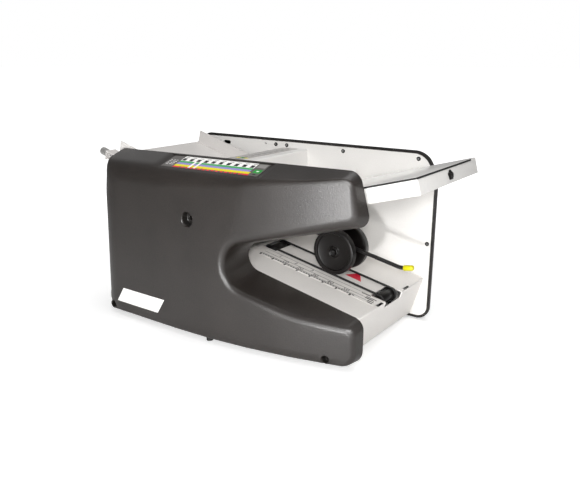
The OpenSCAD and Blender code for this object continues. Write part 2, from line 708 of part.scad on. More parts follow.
module fold_stop_knob() color("silver") on_upper() translate([knob_u[0], stop_rod_y, rod_w])
  rotate([0, 90, 0]) difference() {
    cylinder(h = knob_u[1] - knob_u[0], r = knob_r);
    translate([0, 0, 3.5]) cylinder(h = 40, r = stop_rod_r + running);
  }

// Two sheets held apart by a spacer strip along each side
module lower_fold_plates() color("lightgray") on_lower() {
  for (w = [-sheet_t, fold_gap]) translate([lower_start, -roller_half, w])
    cube([lower_len - lower_start, 2 * roller_half, sheet_t]);
  for (y = [-roller_half, roller_half - sheet_t]) translate([lower_start, y, running])
    cube([lower_len - lower_start, sheet_t, fold_gap - 2 * running]);
}
module lower_fold_stop() color("silver") on_lower() {
  mid = fold_gap / 2;
  translate([lower_stop_u, -lower_stop_half, mid - 2]) cube([4, 2 * lower_stop_half, 4]);
  translate([lower_stop_u, lower_rod_y, mid]) rotate([0, 90, 0])
    cylinder(h = lower_rod_out - lower_stop_u, r = stop_rod_r - 0.5);
  translate([lower_rod_out - 2, lower_rod_y, mid]) rotate([0, 90, 0])
    cylinder(h = lower_knob_len + 2, r = lower_knob_r);
}

module fold_roller(p) {
  roller_shaft(p);
  bar_y(p, fold_r, -roller_half, roller_half);
}
module fold_roller_a() color("dimgray") {
  fold_roller(fold_a);
  bar_y(fold_a, feed_pulley_r[0], belt_run_y[0], belt_run_y[1]);
}
module fold_roller_b() color("dimgray") {
  fold_roller(fold_b);
  bar_y(fold_b, shaft_r, 0, pulley_y[1] + 2);
}
module fold_roller_c() color("dimgray") fold_roller(fold_c);
module fold_roller_d() color("dimgray") {
  fold_roller(fold_d);
  bar_y(fold_d, delivery_pulley_r, belt_run_y[0], belt_run_y[1]);
}

// Spur gear with straight-flanked teeth, its first tooth at the angle phase
gear_module = nip_d / gear_teeth;
tooth = [[-6.4, -1.2], [-2.1, 0.85], [2.1, 0.85], [6.4, -1.2]];
function gear_outline(phase) = [for (k = [0 : gear_teeth - 1], f = tooth)
  (nip_d / 2 + f[1] * gear_module) * along(phase + k * 360 / gear_teeth + f[0] * 20 / gear_teeth)];
module fold_gear(p, phase) color("ivory") difference() {
  slab_y(gear_y[0], gear_y[1]) translate(p) polygon(gear_outline(phase));
  bar_y(p, shaft_r + 0.02, gear_y[0] - 1, gear_y[1] + 1);
}
function mesh_phase(dir) = 2 * dir + 180 + 180 / gear_teeth;
module fold_gear_a() fold_gear(fold_a, mesh_phase(fold_a_dir));
module fold_gear_b() fold_gear(fold_b, 0);
module fold_gear_c() fold_gear(fold_c, mesh_phase(fold_c_dir));
module fold_gear_d() fold_gear(fold_d, mesh_phase(fold_d_dir));

module roller_bushes() color("goldenrod") for (p = bush_at, side = [0, 1])
  mirror([0, side, 0]) difference() {
  union() {
    bar_y(p, bush_r, hw - 1.5, bush_out);
    bar_y(p, bush_flange_r, hw - 1.5, hw);
  }
  bar_y(p, shaft_r + running, hw - 5, bush_out + 5);
}

module drive_pulley() color("silver") difference() {
  bar_y(fold_b, drive_pulley_r, pulley_y[0], pulley_y[1]);
  bar_y(fold_b, shaft_r + 0.02, pulley_y[0] - 1, pulley_y[1] + 1);
  for (k = [0 : 4]) bar_y(fold_b + 0.6 * drive_pulley_r * along(72 * k), 0.22 * drive_pulley_r,
    pulley_y[0] - 1, pulley_y[1] + 1);
}
motor_bore = 20;
module motor() color("slategray") difference() {
  union() {
    bar_y(motor_c, motor_r, motor_y[0], motor_y[1]);
    slab_y(motor_y[1], hw) translate(motor_c) square(2 * motor_r + 6, center = true);
    bar_y(motor_c, 14, motor_y[0] - 6, motor_y[0]);
  }
  bar_y(motor_c, shaft_r + running, motor_y[1] - motor_bore, hw + 1);
}
module motor_pulley() color("silver") {
  bar_y(motor_c, shaft_r, motor_y[1] - motor_bore + 1, pulley_y[1] + 1);
  bar_y(motor_c, motor_pulley_r, pulley_y[0], pulley_y[1]);
}
module drive_belt() color("black")
  belt_y(fold_b, drive_pulley_r, motor_c, motor_pulley_r, pulley_y[0] + 1, pulley_y[1] - 1);
module feed_belt() color("black")
  belt_y(fold_a, feed_pulley_r[0], feed_c, feed_pulley_r[1], belt_run_y[0] + 1, belt_run_y[1] - 1);
module delivery_belt() color("black")
  belt_y(fold_d, delivery_pulley_r, rear_c, delivery_pulley_r, belt_run_y[0] + 1, belt_run_y[1] - 1);

// Two bent sheets that lead the folded sheet down from the last nip to the conveyor
chute_drop = 14;
chute_run = 30;
chute_end = [rear_u - 14, 6];
chute_lower = [fold_d + [fold_r + 3, -fold_r + 2], fold_d + [fold_r + 6, -fold_r - chute_drop],
  tray_at(chute_end[0], chute_end[1])];
chute_upper = [fold_b + [fold_r + 4, -fold_r + 6], fold_b + [fold_r + chute_run, -fold_r - chute_drop]];
module delivery_chute() color("gainsboro") {
  slab_y(-hw, hw) polygon(ribbon(chute_lower, -1));
  slab_y(-hw, hw) polygon(ribbon(chute_upper, 1));
}

tray_foot_z = 8;
tray_path = [tray_at(-tray_len, 0), [tray_end_x, tray_end_z], [tray_end_x - tray_lean, tray_foot_z],
  [tray_end_x - tray_lean - 16, tray_foot_z]];
edge_slot_y = [-47, 54];
module exit_tray() color("gainsboro") difference() {
  slab_y(-hw, hw) polygon(ribbon(tray_path, -sheet_t));
  on_tray() {
    translate([rear_u - pocket_len / 2, -conveyor_half, -6]) cube([pocket_len, 2 * conveyor_half, 12]);
    translate([front_u - 12, -front_half - 1, -12]) cube([pocket_len + 10, 2 * front_half + 2, 20]);
    for (y = edge_slot_y) translate([-3.5, y - 11, -3]) cube([2, 22, 6]);
  }
}
tray_label_y = [-63, -front_half - 2];
module tray_label() color("white") on_tray() translate([-tray_len + 26, tray_label_y[0], 0])
  cube([tray_len - 34, tray_label_y[1] - tray_label_y[0], label_t]);

module conveyor_roller(p, half) difference() {
  bar_y(p, groove_r + 1.6, -half, half);
  for (y = [-belt_y, belt_y]) difference() {
    bar_y(p, groove_r + 5, y - cord_d / 2 - 0.5, y + cord_d / 2 + 0.5);
    bar_y(p, groove_r, y - cord_d, y + cord_d);
  }
}
module conveyor_rear_roller() color("black") {
  conveyor_roller(rear_c, conveyor_half - 2);
  bar_y(rear_c, shaft_r, shaft_near, hw + 3);
  bar_y(rear_c, delivery_pulley_r, belt_run_y[0], belt_run_y[1]);
}
front_axle_r = 3;
module conveyor_front_roller() color("black") {
  conveyor_roller(front_c, front_half);
  bar_y(front_c, front_axle_r, -front_half - cheek_t - 2, front_half + cheek_t + 2);
}
bracket_bottom = roller_w - cord_run_r - cord_d / 2 - 4;
module front_roller_bracket() color("gray") difference() {
  on_tray() {
    for (y = [-front_half - 1 - cheek_t, front_half + 1]) translate([front_u - 9, y, bracket_bottom])
      cube([16, cheek_t, -sheet_t - bracket_bottom]);
    translate([front_u - 9, -front_half - 1 - cheek_t, bracket_bottom])
      cube([10, 2 * (front_half + 1 + cheek_t), 2]);
  }
  bar_y(front_c, front_axle_r + running, -hw, hw);
}
module cord_end(u, y, a) translate([u, y, roller_w]) rotate([90, 0, 0]) rotate([0, 0, a])
  rotate_extrude(angle = 180) translate([cord_run_r, 0]) circle(cord_d / 2);
module conveyor_belts() color("black") on_tray() for (y = [-belt_y, belt_y]) {
  cord_end(rear_u, y, 90);
  cord_end(front_u, y, -90);
  for (w = [-cord_run_r, cord_run_r]) translate([rear_u, y, roller_w + w]) rotate([0, 90, 0])
    cylinder(h = front_u - rear_u, r = cord_d / 2);
}

// Stacker: the rod turns on its cross bar, the carriage slides on the rod, the wheels turn on its axle
eye_r = 10;
eye_half = 9;
collar_r = 4.6;
collar_len = 8;
cap_from = collar_len / 2 + 1.1;
cap_floor = 3;
module on_rod_end(a) on_tray() translate([rod_end_u, rod_y, rod_line_w]) rotate([0, 90 - a, 0]) children();
module stacker_rod() color("black") difference() {
  union() {
    bar_y(pivot_c, eye_r, -eye_half, eye_half);
    on_tray() translate([pivot_u, rod_y, rod_line_w]) rotate([0, 90, 0])
      cylinder(h = rod_end_u - 1 - pivot_u, r = rod_d / 2);
    on_rod_end(rod_bend / 2) translate([0, 0, -collar_len / 2]) cylinder(h = collar_len, r = collar_r);
    on_rod_end(rod_bend) translate([0, 0, 1])
      cylinder(h = cap_from + cap_len - cap_floor - 1.5, r = rod_d / 2);
  }
  bar_y(pivot_c, bar_d / 2 + running, -eye_half - 1, eye_half + 1);
}
module rod_cap() color("gold") on_rod_end(rod_bend) difference() {
  translate([0, 0, cap_from]) {
    cylinder(h = cap_len - cap_r * 0.4, r = cap_r);
    cylinder(h = cap_len, r = cap_r * 0.7);
  }
  cylinder(h = cap_from + cap_len - cap_floor, r = rod_d / 2 + 0.02);
}
block_half = wheel_gap / 2 - 1.5;
module stacker_carriage() color("black") difference() {
  union() {
    on_tray() translate([-wheel_back - 13, -block_half, wheel_w0 - 8])
      cube([26, 2 * block_half, rod_above + rod_d / 2 + 12]);
    bar_y(wheel_c, axle_r, -wheel_gap / 2 - wheel_w - loose, wheel_gap / 2 + wheel_w + loose);
  }
  on_tray() translate([-wheel_back - 20, rod_y, rod_line_w]) rotate([0, 90, 0])
    cylinder(h = 40, r = rod_d / 2 + running);
}
rim_w = 3;
rim_deep = 2.5;
hub_r = 9;
module stacker_wheel() difference() {
  bar_y(wheel_c, wheel_r, wheel_gap / 2, wheel_gap / 2 + wheel_w);
  difference() {
    bar_y(wheel_c, wheel_r - rim_w, wheel_gap / 2 + wheel_w - rim_deep, wheel_gap / 2 + wheel_w + 1);
    bar_y(wheel_c, hub_r, wheel_gap / 2, wheel_gap / 2 + wheel_w + 2);
  }
  bar_y(wheel_c, axle_r + running, wheel_gap / 2 - 1, wheel_gap / 2 + wheel_w + 2);
}
module stacker_wheels() color("black") for (side = [0, 1]) mirror([0, side, 0]) stacker_wheel();
module wheel_screws() color("silver") for (side = [0, 1]) mirror([0, side, 0])
  bar_y(wheel_c, axle_r + 1.5, wheel_gap / 2 + wheel_w + loose, wheel_gap / 2 + wheel_w + 2.5);

module framed(c, size, deep, lip) {
  translate([c.x - size.x / 2 + 0.2, front_y0 - deep, c.y - size.y / 2 + 0.2])
    cube([size.x - 0.4, deep, size.y - 0.4]);
  translate([c.x - size.x / 2 - lip, front_y0, c.y - size.y / 2 - lip])
    cube([size.x + 2 * lip, 2, size.y + 2 * lip]);
}
module switch_bezel() color("black") difference() {
  framed(switch_c, switch_size, 24, bezel_lip);
  translate([switch_c.x - rocker_size.x / 2 - 0.5, front_y0 - 16, switch_c.y - rocker_size.y / 2 - 1.5])
    cube([rocker_size.x + 1, 30, rocker_size.y + 3]);
  translate([switch_c.x, front_y0 - pivot_in, switch_c.y]) rotate([0, 90, 0])
    cylinder(h = rocker_size.x + 4.6, r = rocker_r + running, center = true);
}
module power_rocker() color("red") translate([switch_c.x, front_y0 - pivot_in, switch_c.y])
  rotate([rocker_tilt, 0, 0]) {
  translate([-rocker_size.x / 2, -1, -rocker_size.y / 2])
    cube([rocker_size.x, 1 + rocker_out, rocker_size.y]);
  rotate([0, 90, 0]) cylinder(h = rocker_size.x + 4, r = rocker_r, center = true);
}
pin_at = [[-7, -2], [7, -2], [0, 3]];
module power_inlet() color("black") {
  difference() {
    framed(inlet_c, inlet_size, 24, bezel_lip);
    translate([inlet_c.x - 12, front_y0 - 16, inlet_c.y - 9]) cube([24, 30, 18]);
  }
  for (p = pin_at) translate([inlet_c.x + p.x - 1, front_y0 - 18, inlet_c.y + p.y - 2]) cube([2, 16, 4]);
}

placed() base_plate();
placed() near_side_plate();
placed() far_side_plate();
placed() near_cover();
placed() far_cover();
placed() end_panel();
placed() tie_bars();
placed() feet();
placed() feed_table();
placed() feed_table_trim();
placed() feed_table_knob();
placed() near_paper_guide();
placed() far_paper_guide();
placed() feed_head_cover();
placed() feed_scale_strip();
placed() feed_roller_shaft();
placed() feed_roller_tyres();
placed() separator_pad();
placed() separator_bracket();
placed() upper_fold_plate();
placed() upper_fold_under_plate();
placed() fold_rod_bracket();
placed() upper_fold_stop();
placed() fold_stop_knob();
placed() lower_fold_plates();
placed() lower_fold_stop();
placed() fold_roller_a();
placed() fold_roller_b();
placed() fold_roller_c();
placed() fold_roller_d();
placed() fold_gear_a();
placed() fold_gear_b();
placed() fold_gear_c();
placed() fold_gear_d();
placed() roller_bushes();
placed() drive_pulley();
placed() motor();
placed() motor_pulley();
placed() drive_belt();
placed() feed_belt();
placed() delivery_belt();
placed() delivery_chute();
placed() exit_tray();
placed() tray_label();
placed() conveyor_rear_roller();
placed() conveyor_front_roller();
placed() front_roller_bracket();
placed() conveyor_belts();
placed() stacker_rod();
placed() rod_cap();
placed() stacker_carriage();
placed() stacker_wheels();
placed() wheel_screws();
placed() chart_label();
placed() badge_plate();
placed() panel_screws();
placed() cover_screws();
placed() switch_bezel();
placed() power_rocker();
placed() power_inlet();
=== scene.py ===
import math
from collections import namedtuple

import bmesh
import bpy
from mathutils import Matrix, Vector


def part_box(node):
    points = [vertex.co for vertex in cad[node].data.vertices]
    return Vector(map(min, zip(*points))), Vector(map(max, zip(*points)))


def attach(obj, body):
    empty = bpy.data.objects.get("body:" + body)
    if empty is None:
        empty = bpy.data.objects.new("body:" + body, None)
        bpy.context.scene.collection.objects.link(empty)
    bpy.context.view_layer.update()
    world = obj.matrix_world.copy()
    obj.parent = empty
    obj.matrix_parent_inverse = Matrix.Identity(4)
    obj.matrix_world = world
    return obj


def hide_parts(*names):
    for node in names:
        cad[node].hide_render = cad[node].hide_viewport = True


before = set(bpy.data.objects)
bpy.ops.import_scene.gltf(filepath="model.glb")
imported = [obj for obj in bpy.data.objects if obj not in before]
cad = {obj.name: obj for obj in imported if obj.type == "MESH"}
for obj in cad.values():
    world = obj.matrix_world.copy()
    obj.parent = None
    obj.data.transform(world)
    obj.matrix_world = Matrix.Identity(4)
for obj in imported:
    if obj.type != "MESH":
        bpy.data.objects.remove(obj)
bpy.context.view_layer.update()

# Pieces are drawn in millimetres about the middle of the side plates, as the part's source is, and
# moved at the end to metres about the middle of the whole machine. The far panel's corner says where
# that lies.
INNER_Y = 122.4
PANEL_LEFT = -276
PANEL_RIGHT = 280
PANEL_TOP = 321
COVER_GAP = 6.5
panel_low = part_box("far_side_plate")[0] * 1000
MIDDLE = Vector((PANEL_LEFT - panel_low.x, INNER_Y - panel_low.y, 0))
TO_FRAME = Matrix.Scale(0.001, 4) @ Matrix.Translation(-MIDDLE)


def at(x, y, z):
    """Move to a place in the machine's frame."""
    return Matrix.Translation((x, y, z))


def about(axis, degrees):
    """Turn about an axis."""
    return Matrix.Rotation(math.radians(degrees), 4, axis)


def tan(degrees):
    """Tangent of an angle in degrees."""
    return math.tan(math.radians(degrees))


# Slopes in degrees: the tray, the two tables, and the near cover's top, rim and front
TRAY_SLOPE = 11.5
FEED_SLOPE = 15.5
UPPER_SLOPE = 16.4
TOP_SLOPE = 19
RIM_TILT = 0.7386
FRONT_LEAN = 2.6
# Frames on the sloping faces that pieces are drawn in: the tray, the two tables, and the near cover's
# top and front
FRONT_Y = 197.4
FRONT_OUT = 1
NEAR_RIM_Z = 319.622
TRAY_EDGE = (269, 86)
ON_TRAY = at(TRAY_EDGE[0], 0, TRAY_EDGE[1]) @ about("Y", TRAY_SLOPE)
ON_FEED = at(26, 0, 233) @ about("Y", -FEED_SLOPE)
ON_UPPER = at(-281, 0, 302.5) @ about("Y", UPPER_SLOPE)
ON_TOP = at(0, -INNER_Y, NEAR_RIM_Z) @ about("Y", -RIM_TILT) @ about("X", TOP_SLOPE)
ON_FRONT = at(0, -FRONT_Y - FRONT_OUT, COVER_GAP) @ about("X", -FRONT_LEAN)


# Finishes


def linear(colour):
    """sRGB hex colour as linear RGBA."""
    parts = [int(colour[i : i + 2], 16) / 255 for i in (1, 3, 5)]
    return [c / 12.92 if c <= 0.04045 else ((c + 0.055) / 1.055) ** 2.4 for c in parts] + [1]


def add(tree, kind, links=None, **settings):
    """New shader node with its settings, and its inputs linked or set."""
    made = tree.nodes.new("ShaderNode" + kind)
    for key, value in settings.items():
        setattr(made, key, value)
    for key, value in (links or {}).items():
        if isinstance(value, bpy.types.NodeSocket):
            tree.links.new(value, made.inputs[key])
        else:
            made.inputs[key].default_value = value
    return made


# Share of the fine grain in the mix that shifts a finish between its two colours
GRAIN_SHARE = 0.5


def finish(name, dark, light, rough, grain, depth, broad=70, stretch=(1, 1, 1), **shader):
    """Surface with a grain of that size and depth in millimetres, two close colours and a rough range."""
    material = bpy.data.materials.new(name)
    material.use_nodes = True
    tree = material.node_tree
    tree.nodes.clear()
    place = add(tree, "TexCoord").outputs["Object"]
    mapped = add(tree, "Mapping", {"Vector": place, "Scale": stretch}).outputs["Vector"]
    fine = add(tree, "TexNoise", {"Vector": mapped, "Scale": 1000 / grain, "Detail": 2.0}).outputs["Fac"]
    wide = add(tree, "TexNoise", {"Vector": place, "Scale": 1000 / broad, "Detail": 3.0}).outputs["Fac"]
    both = add(tree, "Mix", {"Factor": GRAIN_SHARE, "A": wide, "B": fine}).outputs["Result"]
    tone = add(tree, "MapRange", {"Value": both, "From Min": 0.3, "From Max": 0.7}).outputs["Result"]
    colour = add(tree, "Mix", {"Factor": tone, 6: linear(dark), 7: linear(light)}, data_type="RGBA")
    gloss = add(tree, "MapRange", {"Value": wide, "To Min": rough[0], "To Max": rough[1]})
    bump = add(tree, "Bump", {"Height": fine, "Strength": 1.0, "Distance": depth / 1000})
    values = {key.replace("_", " "): value for key, value in shader.items()}
    values["Base Color"] = colour.outputs[2]
    values["Roughness"] = gloss.outputs["Result"]
    values["Normal"] = bump.outputs["Normal"]
    surface = add(tree, "BsdfPrincipled", values)
    add(tree, "OutputMaterial", {"Surface": surface.outputs["BSDF"]})
    return material


# Moulded ABS with a spark-eroded grain: charcoal, matt, with a soft sheen and a fine sparkle.
# The real grain is about 0.3 mm; it is drawn at 2.5 mm so that it shows.
abs_charcoal = finish(
    "moulded_abs_charcoal", "#17120f", "#26211e", (0.36, 0.42), 2.5, 0.22, Specular_IOR_Level=0.75
)
# The same ABS on the far cover's rim bead and inside the screw tubes, darker and smoother: inside the tubes
# the darker tone is painted shade of the deep dish and cups.
abs_rim_and_painted_shade = finish("moulded_abs_rim_and_painted_shade", "#161413", "#211f1d", (0.3, 0.36), 1.0, 0.03)
# Gloss enamel on steel sheet: white, smooth, mirrors what lies beside it at a low angle.
enamel_white = finish("gloss_enamel_white", "#e4e2df", "#ebe9e6", (0.16, 0.22), 9, 0.01, broad=120)
# Powder coat: white with a faint orange peel about 2 mm wide.
powder_white = finish("powder_coat_white", "#dbd9d6", "#e3e1de", (0.36, 0.44), 2.2, 0.03, broad=120)
# Powder coat on the tray: warm light grey, the same orange peel.
powder_grey = finish("powder_coat_warm_grey", "#e6e2de", "#eeebe7", (0.38, 0.46), 2.2, 0.03, broad=120)
# Powder coat on the upper fold table: pale grey.
powder_pale = finish("powder_coat_pale_grey", "#c9c5c2", "#d4d1ce", (0.34, 0.42), 2.2, 0.02, broad=120)
# Zinc-plated steel sheet: grey, half dull, cloudy.
zinc_sheet = finish("zinc_plated_sheet", "#b9b8b6", "#cfcdca", (0.34, 0.5), 14, 0.01, Metallic=0.85)
# Turned steel bar: bright, with fine turning marks.
steel_turned = finish(
    "turned_steel", "#a9a9aa", "#cfcfd0", (0.22, 0.34), 1.2, 0.01, stretch=(0.2, 1, 1), Metallic=1.0
)
# Phosphated steel: black, half dull.
steel_black = finish("phosphated_steel_black", "#0a0909", "#141312", (0.34, 0.46), 3, 0.01, Metallic=0.2)
# Vulcanised rubber: black, dull, slightly dusty.
rubber_black = finish("rubber_black", "#0e0d0d", "#1b1a19", (0.55, 0.7), 1.5, 0.03)
# Ground rubber on the fold rollers: dark grey, dry, finely rough from the grinding.
rubber_ground = finish("ground_rubber_grey", "#2e2d2d", "#3d3c3b", (0.6, 0.75), 1.2, 0.03)
# Moulded nylon, black: smooth, half gloss.
nylon_black = finish(
    "moulded_nylon_black", "#0a0807", "#120f0e", (0.3, 0.4), 2, 0.015, Specular_IOR_Level=0.3
)
# Moulded nylon, natural: milky, smooth.
nylon_natural = finish("moulded_nylon_natural", "#e2ddcf", "#ece8dd", (0.35, 0.45), 4, 0.01)
# Dipped vinyl cap: clear yellow, soft gloss.
vinyl_yellow = finish("dipped_vinyl_yellow", "#c2b905", "#cec70d", (0.28, 0.36), 6, 0.01)
# Sintered bronze: warm, dull, porous.
bronze = finish("sintered_bronze", "#8d6a3c", "#a98350", (0.4, 0.55), 1.0, 0.02, Metallic=0.9)
# Die-cast aluminium: pale grey, fine grained.
aluminium = finish("cast_aluminium", "#b4b5b7", "#cacbcd", (0.32, 0.45), 1.5, 0.02, Metallic=1.0)
# Stoved motor paint: blue-grey, half gloss.
motor_paint = finish("stoved_paint_grey", "#4f565d", "#5d656d", (0.35, 0.45), 2.5, 0.03)
# Printed polyester film: the ground of each label and its inks, smooth with a low sheen.
film_white = finish("polyester_film_white", "#eceae7", "#f4f3f1", (0.32, 0.4), 12, 0.004)
film_grey = finish("polyester_film_grey", "#504d4b", "#5f5c5a", (0.36, 0.44), 12, 0.004)
film_strip = finish("polyester_film_mid_grey", "#b7b3b0", "#c1bdba", (0.36, 0.44), 12, 0.004)
film_tray = finish("polyester_film_warm_grey", "#e6e2de", "#eeebe7", (0.34, 0.42), 12, 0.004)
ink_black = finish("screen_ink_black", "#060606", "#0f0f0f", (0.4, 0.5), 8, 0.004)
ink_grey = finish("screen_ink_grey", "#7c7976", "#8b8885", (0.4, 0.5), 8, 0.004)
ink_green = finish("screen_ink_green", "#379650", "#48a560", (0.4, 0.5), 8, 0.004)
ink_leaf = finish("screen_ink_leaf_green", "#0c8a2b", "#179838", (0.4, 0.5), 8, 0.004)
ink_lilac = finish("screen_ink_lilac", "#857cc0", "#968ecb", (0.4, 0.5), 8, 0.004)
ink_yellow = finish("screen_ink_yellow", "#d8cc00", "#e4d810", (0.4, 0.5), 8, 0.004)
ink_red = finish("screen_ink_red", "#cf0f2f", "#da1c3b", (0.4, 0.5), 8, 0.004)


# Tools that shape the meshes


def object_of(bm, name):
    """Object at the origin from a mesh in millimetres."""
    bmesh.ops.transform(bm, matrix=TO_FRAME, verts=bm.verts)
    mesh = bpy.data.meshes.new(name)
    bm.to_mesh(mesh)
    bm.free()
    made = bpy.data.objects.new(name, mesh)
    bpy.context.scene.collection.objects.link(made)
    return made


def soft_edges(piece, width):
    """Bevel of that width in millimetres on every sharp edge."""
    edge = piece.modifiers.new("soft_edges", "BEVEL")
    edge.width = width / 1000
    edge.segments = 2
    edge.limit_method = "ANGLE"
    edge.angle_limit = math.radians(40)


def make(bm, name, slot, *finishes, body="frame", stands_for=(), wall=0, cutters=(), soften=0):
    """Piece from a mesh in millimetres: walled, cut, softened, finished and put on its body."""
    piece = object_of(bm, name)
    for material in finishes:
        piece.data.materials.append(material)
    if wall:
        skin = piece.modifiers.new("wall", "SOLIDIFY")
        skin.thickness = wall / 1000
        skin.offset = -1
        skin.use_even_offset = True
    tools = [object_of(shape, name + "_cutter") for shape in cutters]
    for tool in tools:
        cut = piece.modifiers.new("cut", "BOOLEAN")
        cut.object = tool
        cut.solver = "EXACT"
    if wall or tools:
        seen = piece.evaluated_get(bpy.context.evaluated_depsgraph_get())
        piece.data = bpy.data.meshes.new_from_object(seen)
        piece.modifiers.clear()
    for tool in tools:
        bpy.data.objects.remove(tool)
    piece.data.polygons.foreach_set("use_smooth", [True] * len(piece.data.polygons))
    piece.data.set_sharp_from_angle(angle=math.radians(35))
    if soften:
        soft_edges(piece, soften)
    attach(piece, body)
    if stands_for:
        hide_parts(*stands_for)
    return piece


def of_kind(geom, kind):
    """Verts, edges or faces among an operator's results."""
    return [g for g in geom if isinstance(g, kind)]


def block(bm, low, high, place=Matrix(), tone=0):
    """Box between two corners."""
    low = Vector(low)
    high = Vector(high)
    size = Matrix.Diagonal((*(high - low), 1))
    matrix = place @ Matrix.Translation((low + high) / 2) @ size
    verts = bmesh.ops.create_cube(bm, size=1, matrix=matrix)["verts"]
    for face in {f for v in verts for f in v.link_faces}:
        face.material_index = tone
    return verts


def box(low, high, place=Matrix()):
    """Mesh of one box, for a cutter."""
    bm = bmesh.new()
    block(bm, low, high, place)
    return bm


def wire(bm, points, closed=False):
    """Chain of edges through points."""
    verts = [bm.verts.new(p) for p in points]
    pairs = list(zip(verts, verts[1:])) + ([(verts[-1], verts[0])] if closed else [])
    return verts, [bm.edges.new(pair) for pair in pairs]


def turn(bm, profile, place=Matrix(), steps=64, tone=0):
    """Solid of revolution about the local Y axis from (radius, y) pairs."""
    old = set(bm.verts)
    verts, edges = wire(bm, [(r, y, 0) for r, y in profile])
    bmesh.ops.spin(
        bm,
        geom=verts + edges,
        cent=(0, 0, 0),
        axis=(0, 1, 0),
        angle=math.tau,
        steps=steps,
        use_merge=True,
    )
    bmesh.ops.remove_doubles(bm, verts=list(set(bm.verts) - old), dist=0.0005)
    verts = list(set(bm.verts) - old)
    faces = list({f for v in verts for f in v.link_faces})
    bmesh.ops.recalc_face_normals(bm, faces=faces)
    for face in faces:
        face.material_index = tone
    bmesh.ops.transform(bm, matrix=place, verts=verts)


def turned_mesh(profile, place=Matrix(), steps=64):
    """Mesh of one solid of revolution."""
    bm = bmesh.new()
    turn(bm, profile, place, steps)
    return bm


def along_x(place):
    """Frame whose local Y runs along X of another frame."""
    return place @ about("Z", -90)


def sheet(points, direction, bend):
    """Bent sheet: a chain of points drawn out along a direction, its corners rounded."""
    bm = bmesh.new()
    edges = wire(bm, points)[1]
    drawn = bmesh.ops.extrude_edge_only(bm, edges=edges)["geom"]
    bmesh.ops.translate(bm, vec=direction, verts=of_kind(drawn, bmesh.types.BMVert))
    folds = [e for e in bm.edges if len(e.link_faces) == 2]
    bmesh.ops.bevel(
        bm,
        geom=folds,
        offset=bend,
        segments=5,
        profile=0.5,
        affect="EDGES",
        material=-1,
        clamp_overlap=True,
    )
    return bm


def facing(bm, direction):
    """Turns an open sheet over if most of it looks away from a direction."""
    bmesh.ops.recalc_face_normals(bm, faces=bm.faces)
    total = sum((f.normal * f.calc_area() for f in bm.faces), Vector())
    if total.dot(Vector(direction)) < 0:
        bmesh.ops.reverse_faces(bm, faces=bm.faces)
    return bm


def raised_shape(bm, points, rise):
    """Flat shape through points, raised into a thin plate."""
    face = bm.faces.new([bm.verts.new(p) for p in points])
    drawn = bmesh.ops.extrude_face_region(bm, geom=[face])["geom"]
    bmesh.ops.translate(bm, vec=rise, verts=of_kind(drawn, bmesh.types.BMVert))
    bmesh.ops.recalc_face_normals(bm, faces=bm.faces)


# Loops of the covers: a corner's arc and the straight run after it have these many steps
ARC = 12
RUN = 6


def conic(a, b, c, weight, t):
    """Point on the round between a and c whose tangents meet at b."""
    first = (1 - t) ** 2
    middle = 2 * t * (1 - t) * weight
    last = t * t
    return (first * a + middle * b + last * c) / (first + middle + last)


def rounded_loop(corners):
    """Points of an outline whose corners (x, z, reach) are rounded over that reach of their sides."""
    count = len(corners)
    arcs = []
    for i, (x, z, reach) in enumerate(corners):
        b = Vector((x, z))
        u = (Vector(corners[i - 1][:2]) - b).normalized()
        v = (Vector(corners[(i + 1) % count][:2]) - b).normalized()
        weight = math.sqrt(max(0.0, (1 - u.dot(v)) / 2))
        arcs.append([conic(b + u * reach, b, b + v * reach, weight, k / ARC) for k in range(ARC + 1)])
    points = []
    for i, bend in enumerate(arcs):
        after = arcs[(i + 1) % count][0]
        points += bend
        points += [bend[-1].lerp(after, k / RUN) for k in range(1, RUN)]
    return points


def spread(values):
    """One value per side, blended over each corner, for every point of a rounded loop."""
    out = []
    for i, value in enumerate(values):
        out += [values[i - 1] + (value - values[i - 1]) * k / ARC for k in range(ARC + 1)]
        out += [value] * (RUN - 1)
    return out


def loft(bm, loops):
    """Skin drawn from loop to loop, with the edges of the first and the last one."""
    order = bm.verts.layers.int.new("order")
    verts, first = wire(bm, loops[0], closed=True)
    for i, v in enumerate(verts):
        v[order] = i
    edges = first
    for loop in loops[1:]:
        drawn = bmesh.ops.extrude_edge_only(bm, edges=edges)["geom"]
        for v in of_kind(drawn, bmesh.types.BMVert):
            v.co = loop[v[order]]
        edges = [e for e in of_kind(drawn, bmesh.types.BMEdge) if len(e.link_faces) == 1]
    return first, edges


# Side covers


Cover = namedtuple("Cover", "rim_z tilt lip lean")
NEAR = Cover(NEAR_RIM_Z, RIM_TILT, 0, FRONT_LEAN)
FAR_RIM = 3.4
FAR = Cover(PANEL_TOP + FAR_RIM, 0, 5, 0)
# The front is flat up to a place along X and then bows back as a parabola
BOW_START = -80
BOW = 2300
# How softly the bowed and the leaning front run into each other
MEET = 0.5
WALL = 3
# Steps over the ridge, the most of a side that its round may take, and the cuts that let the front bow
ROUND_STEPS = 8
ROUND_LIMIT = 0.9
FRONT_X = (-228, 266)
FRONT_Z = (24, 310)
FRONT_STEP = 12


def front_y(cover, x, z):
    """Depth of a cover's front: bowed towards the feed end, and leaning back where it leans."""
    bowed = -FRONT_Y + max(0, x - BOW_START) ** 2 / BOW
    if not cover.lean:
        return bowed
    leaning = -FRONT_Y - FRONT_OUT + (z - COVER_GAP) * tan(cover.lean)
    return (bowed + leaning) / 2 + math.hypot((bowed - leaning) / 2, MEET)


def rim_z(cover, x):
    """Height of a cover's rim."""
    return cover.rim_z + x * tan(cover.tilt)


def crest(cover, x, inset=0):
    """Height at which a cover's top slope meets its front, less an inset."""
    z = rim_z(cover, x)
    for _ in range(6):
        z = rim_z(cover, x) - (-front_y(cover, x, z) - INNER_Y - cover.lip) * tan(TOP_SLOPE)
    return z - inset


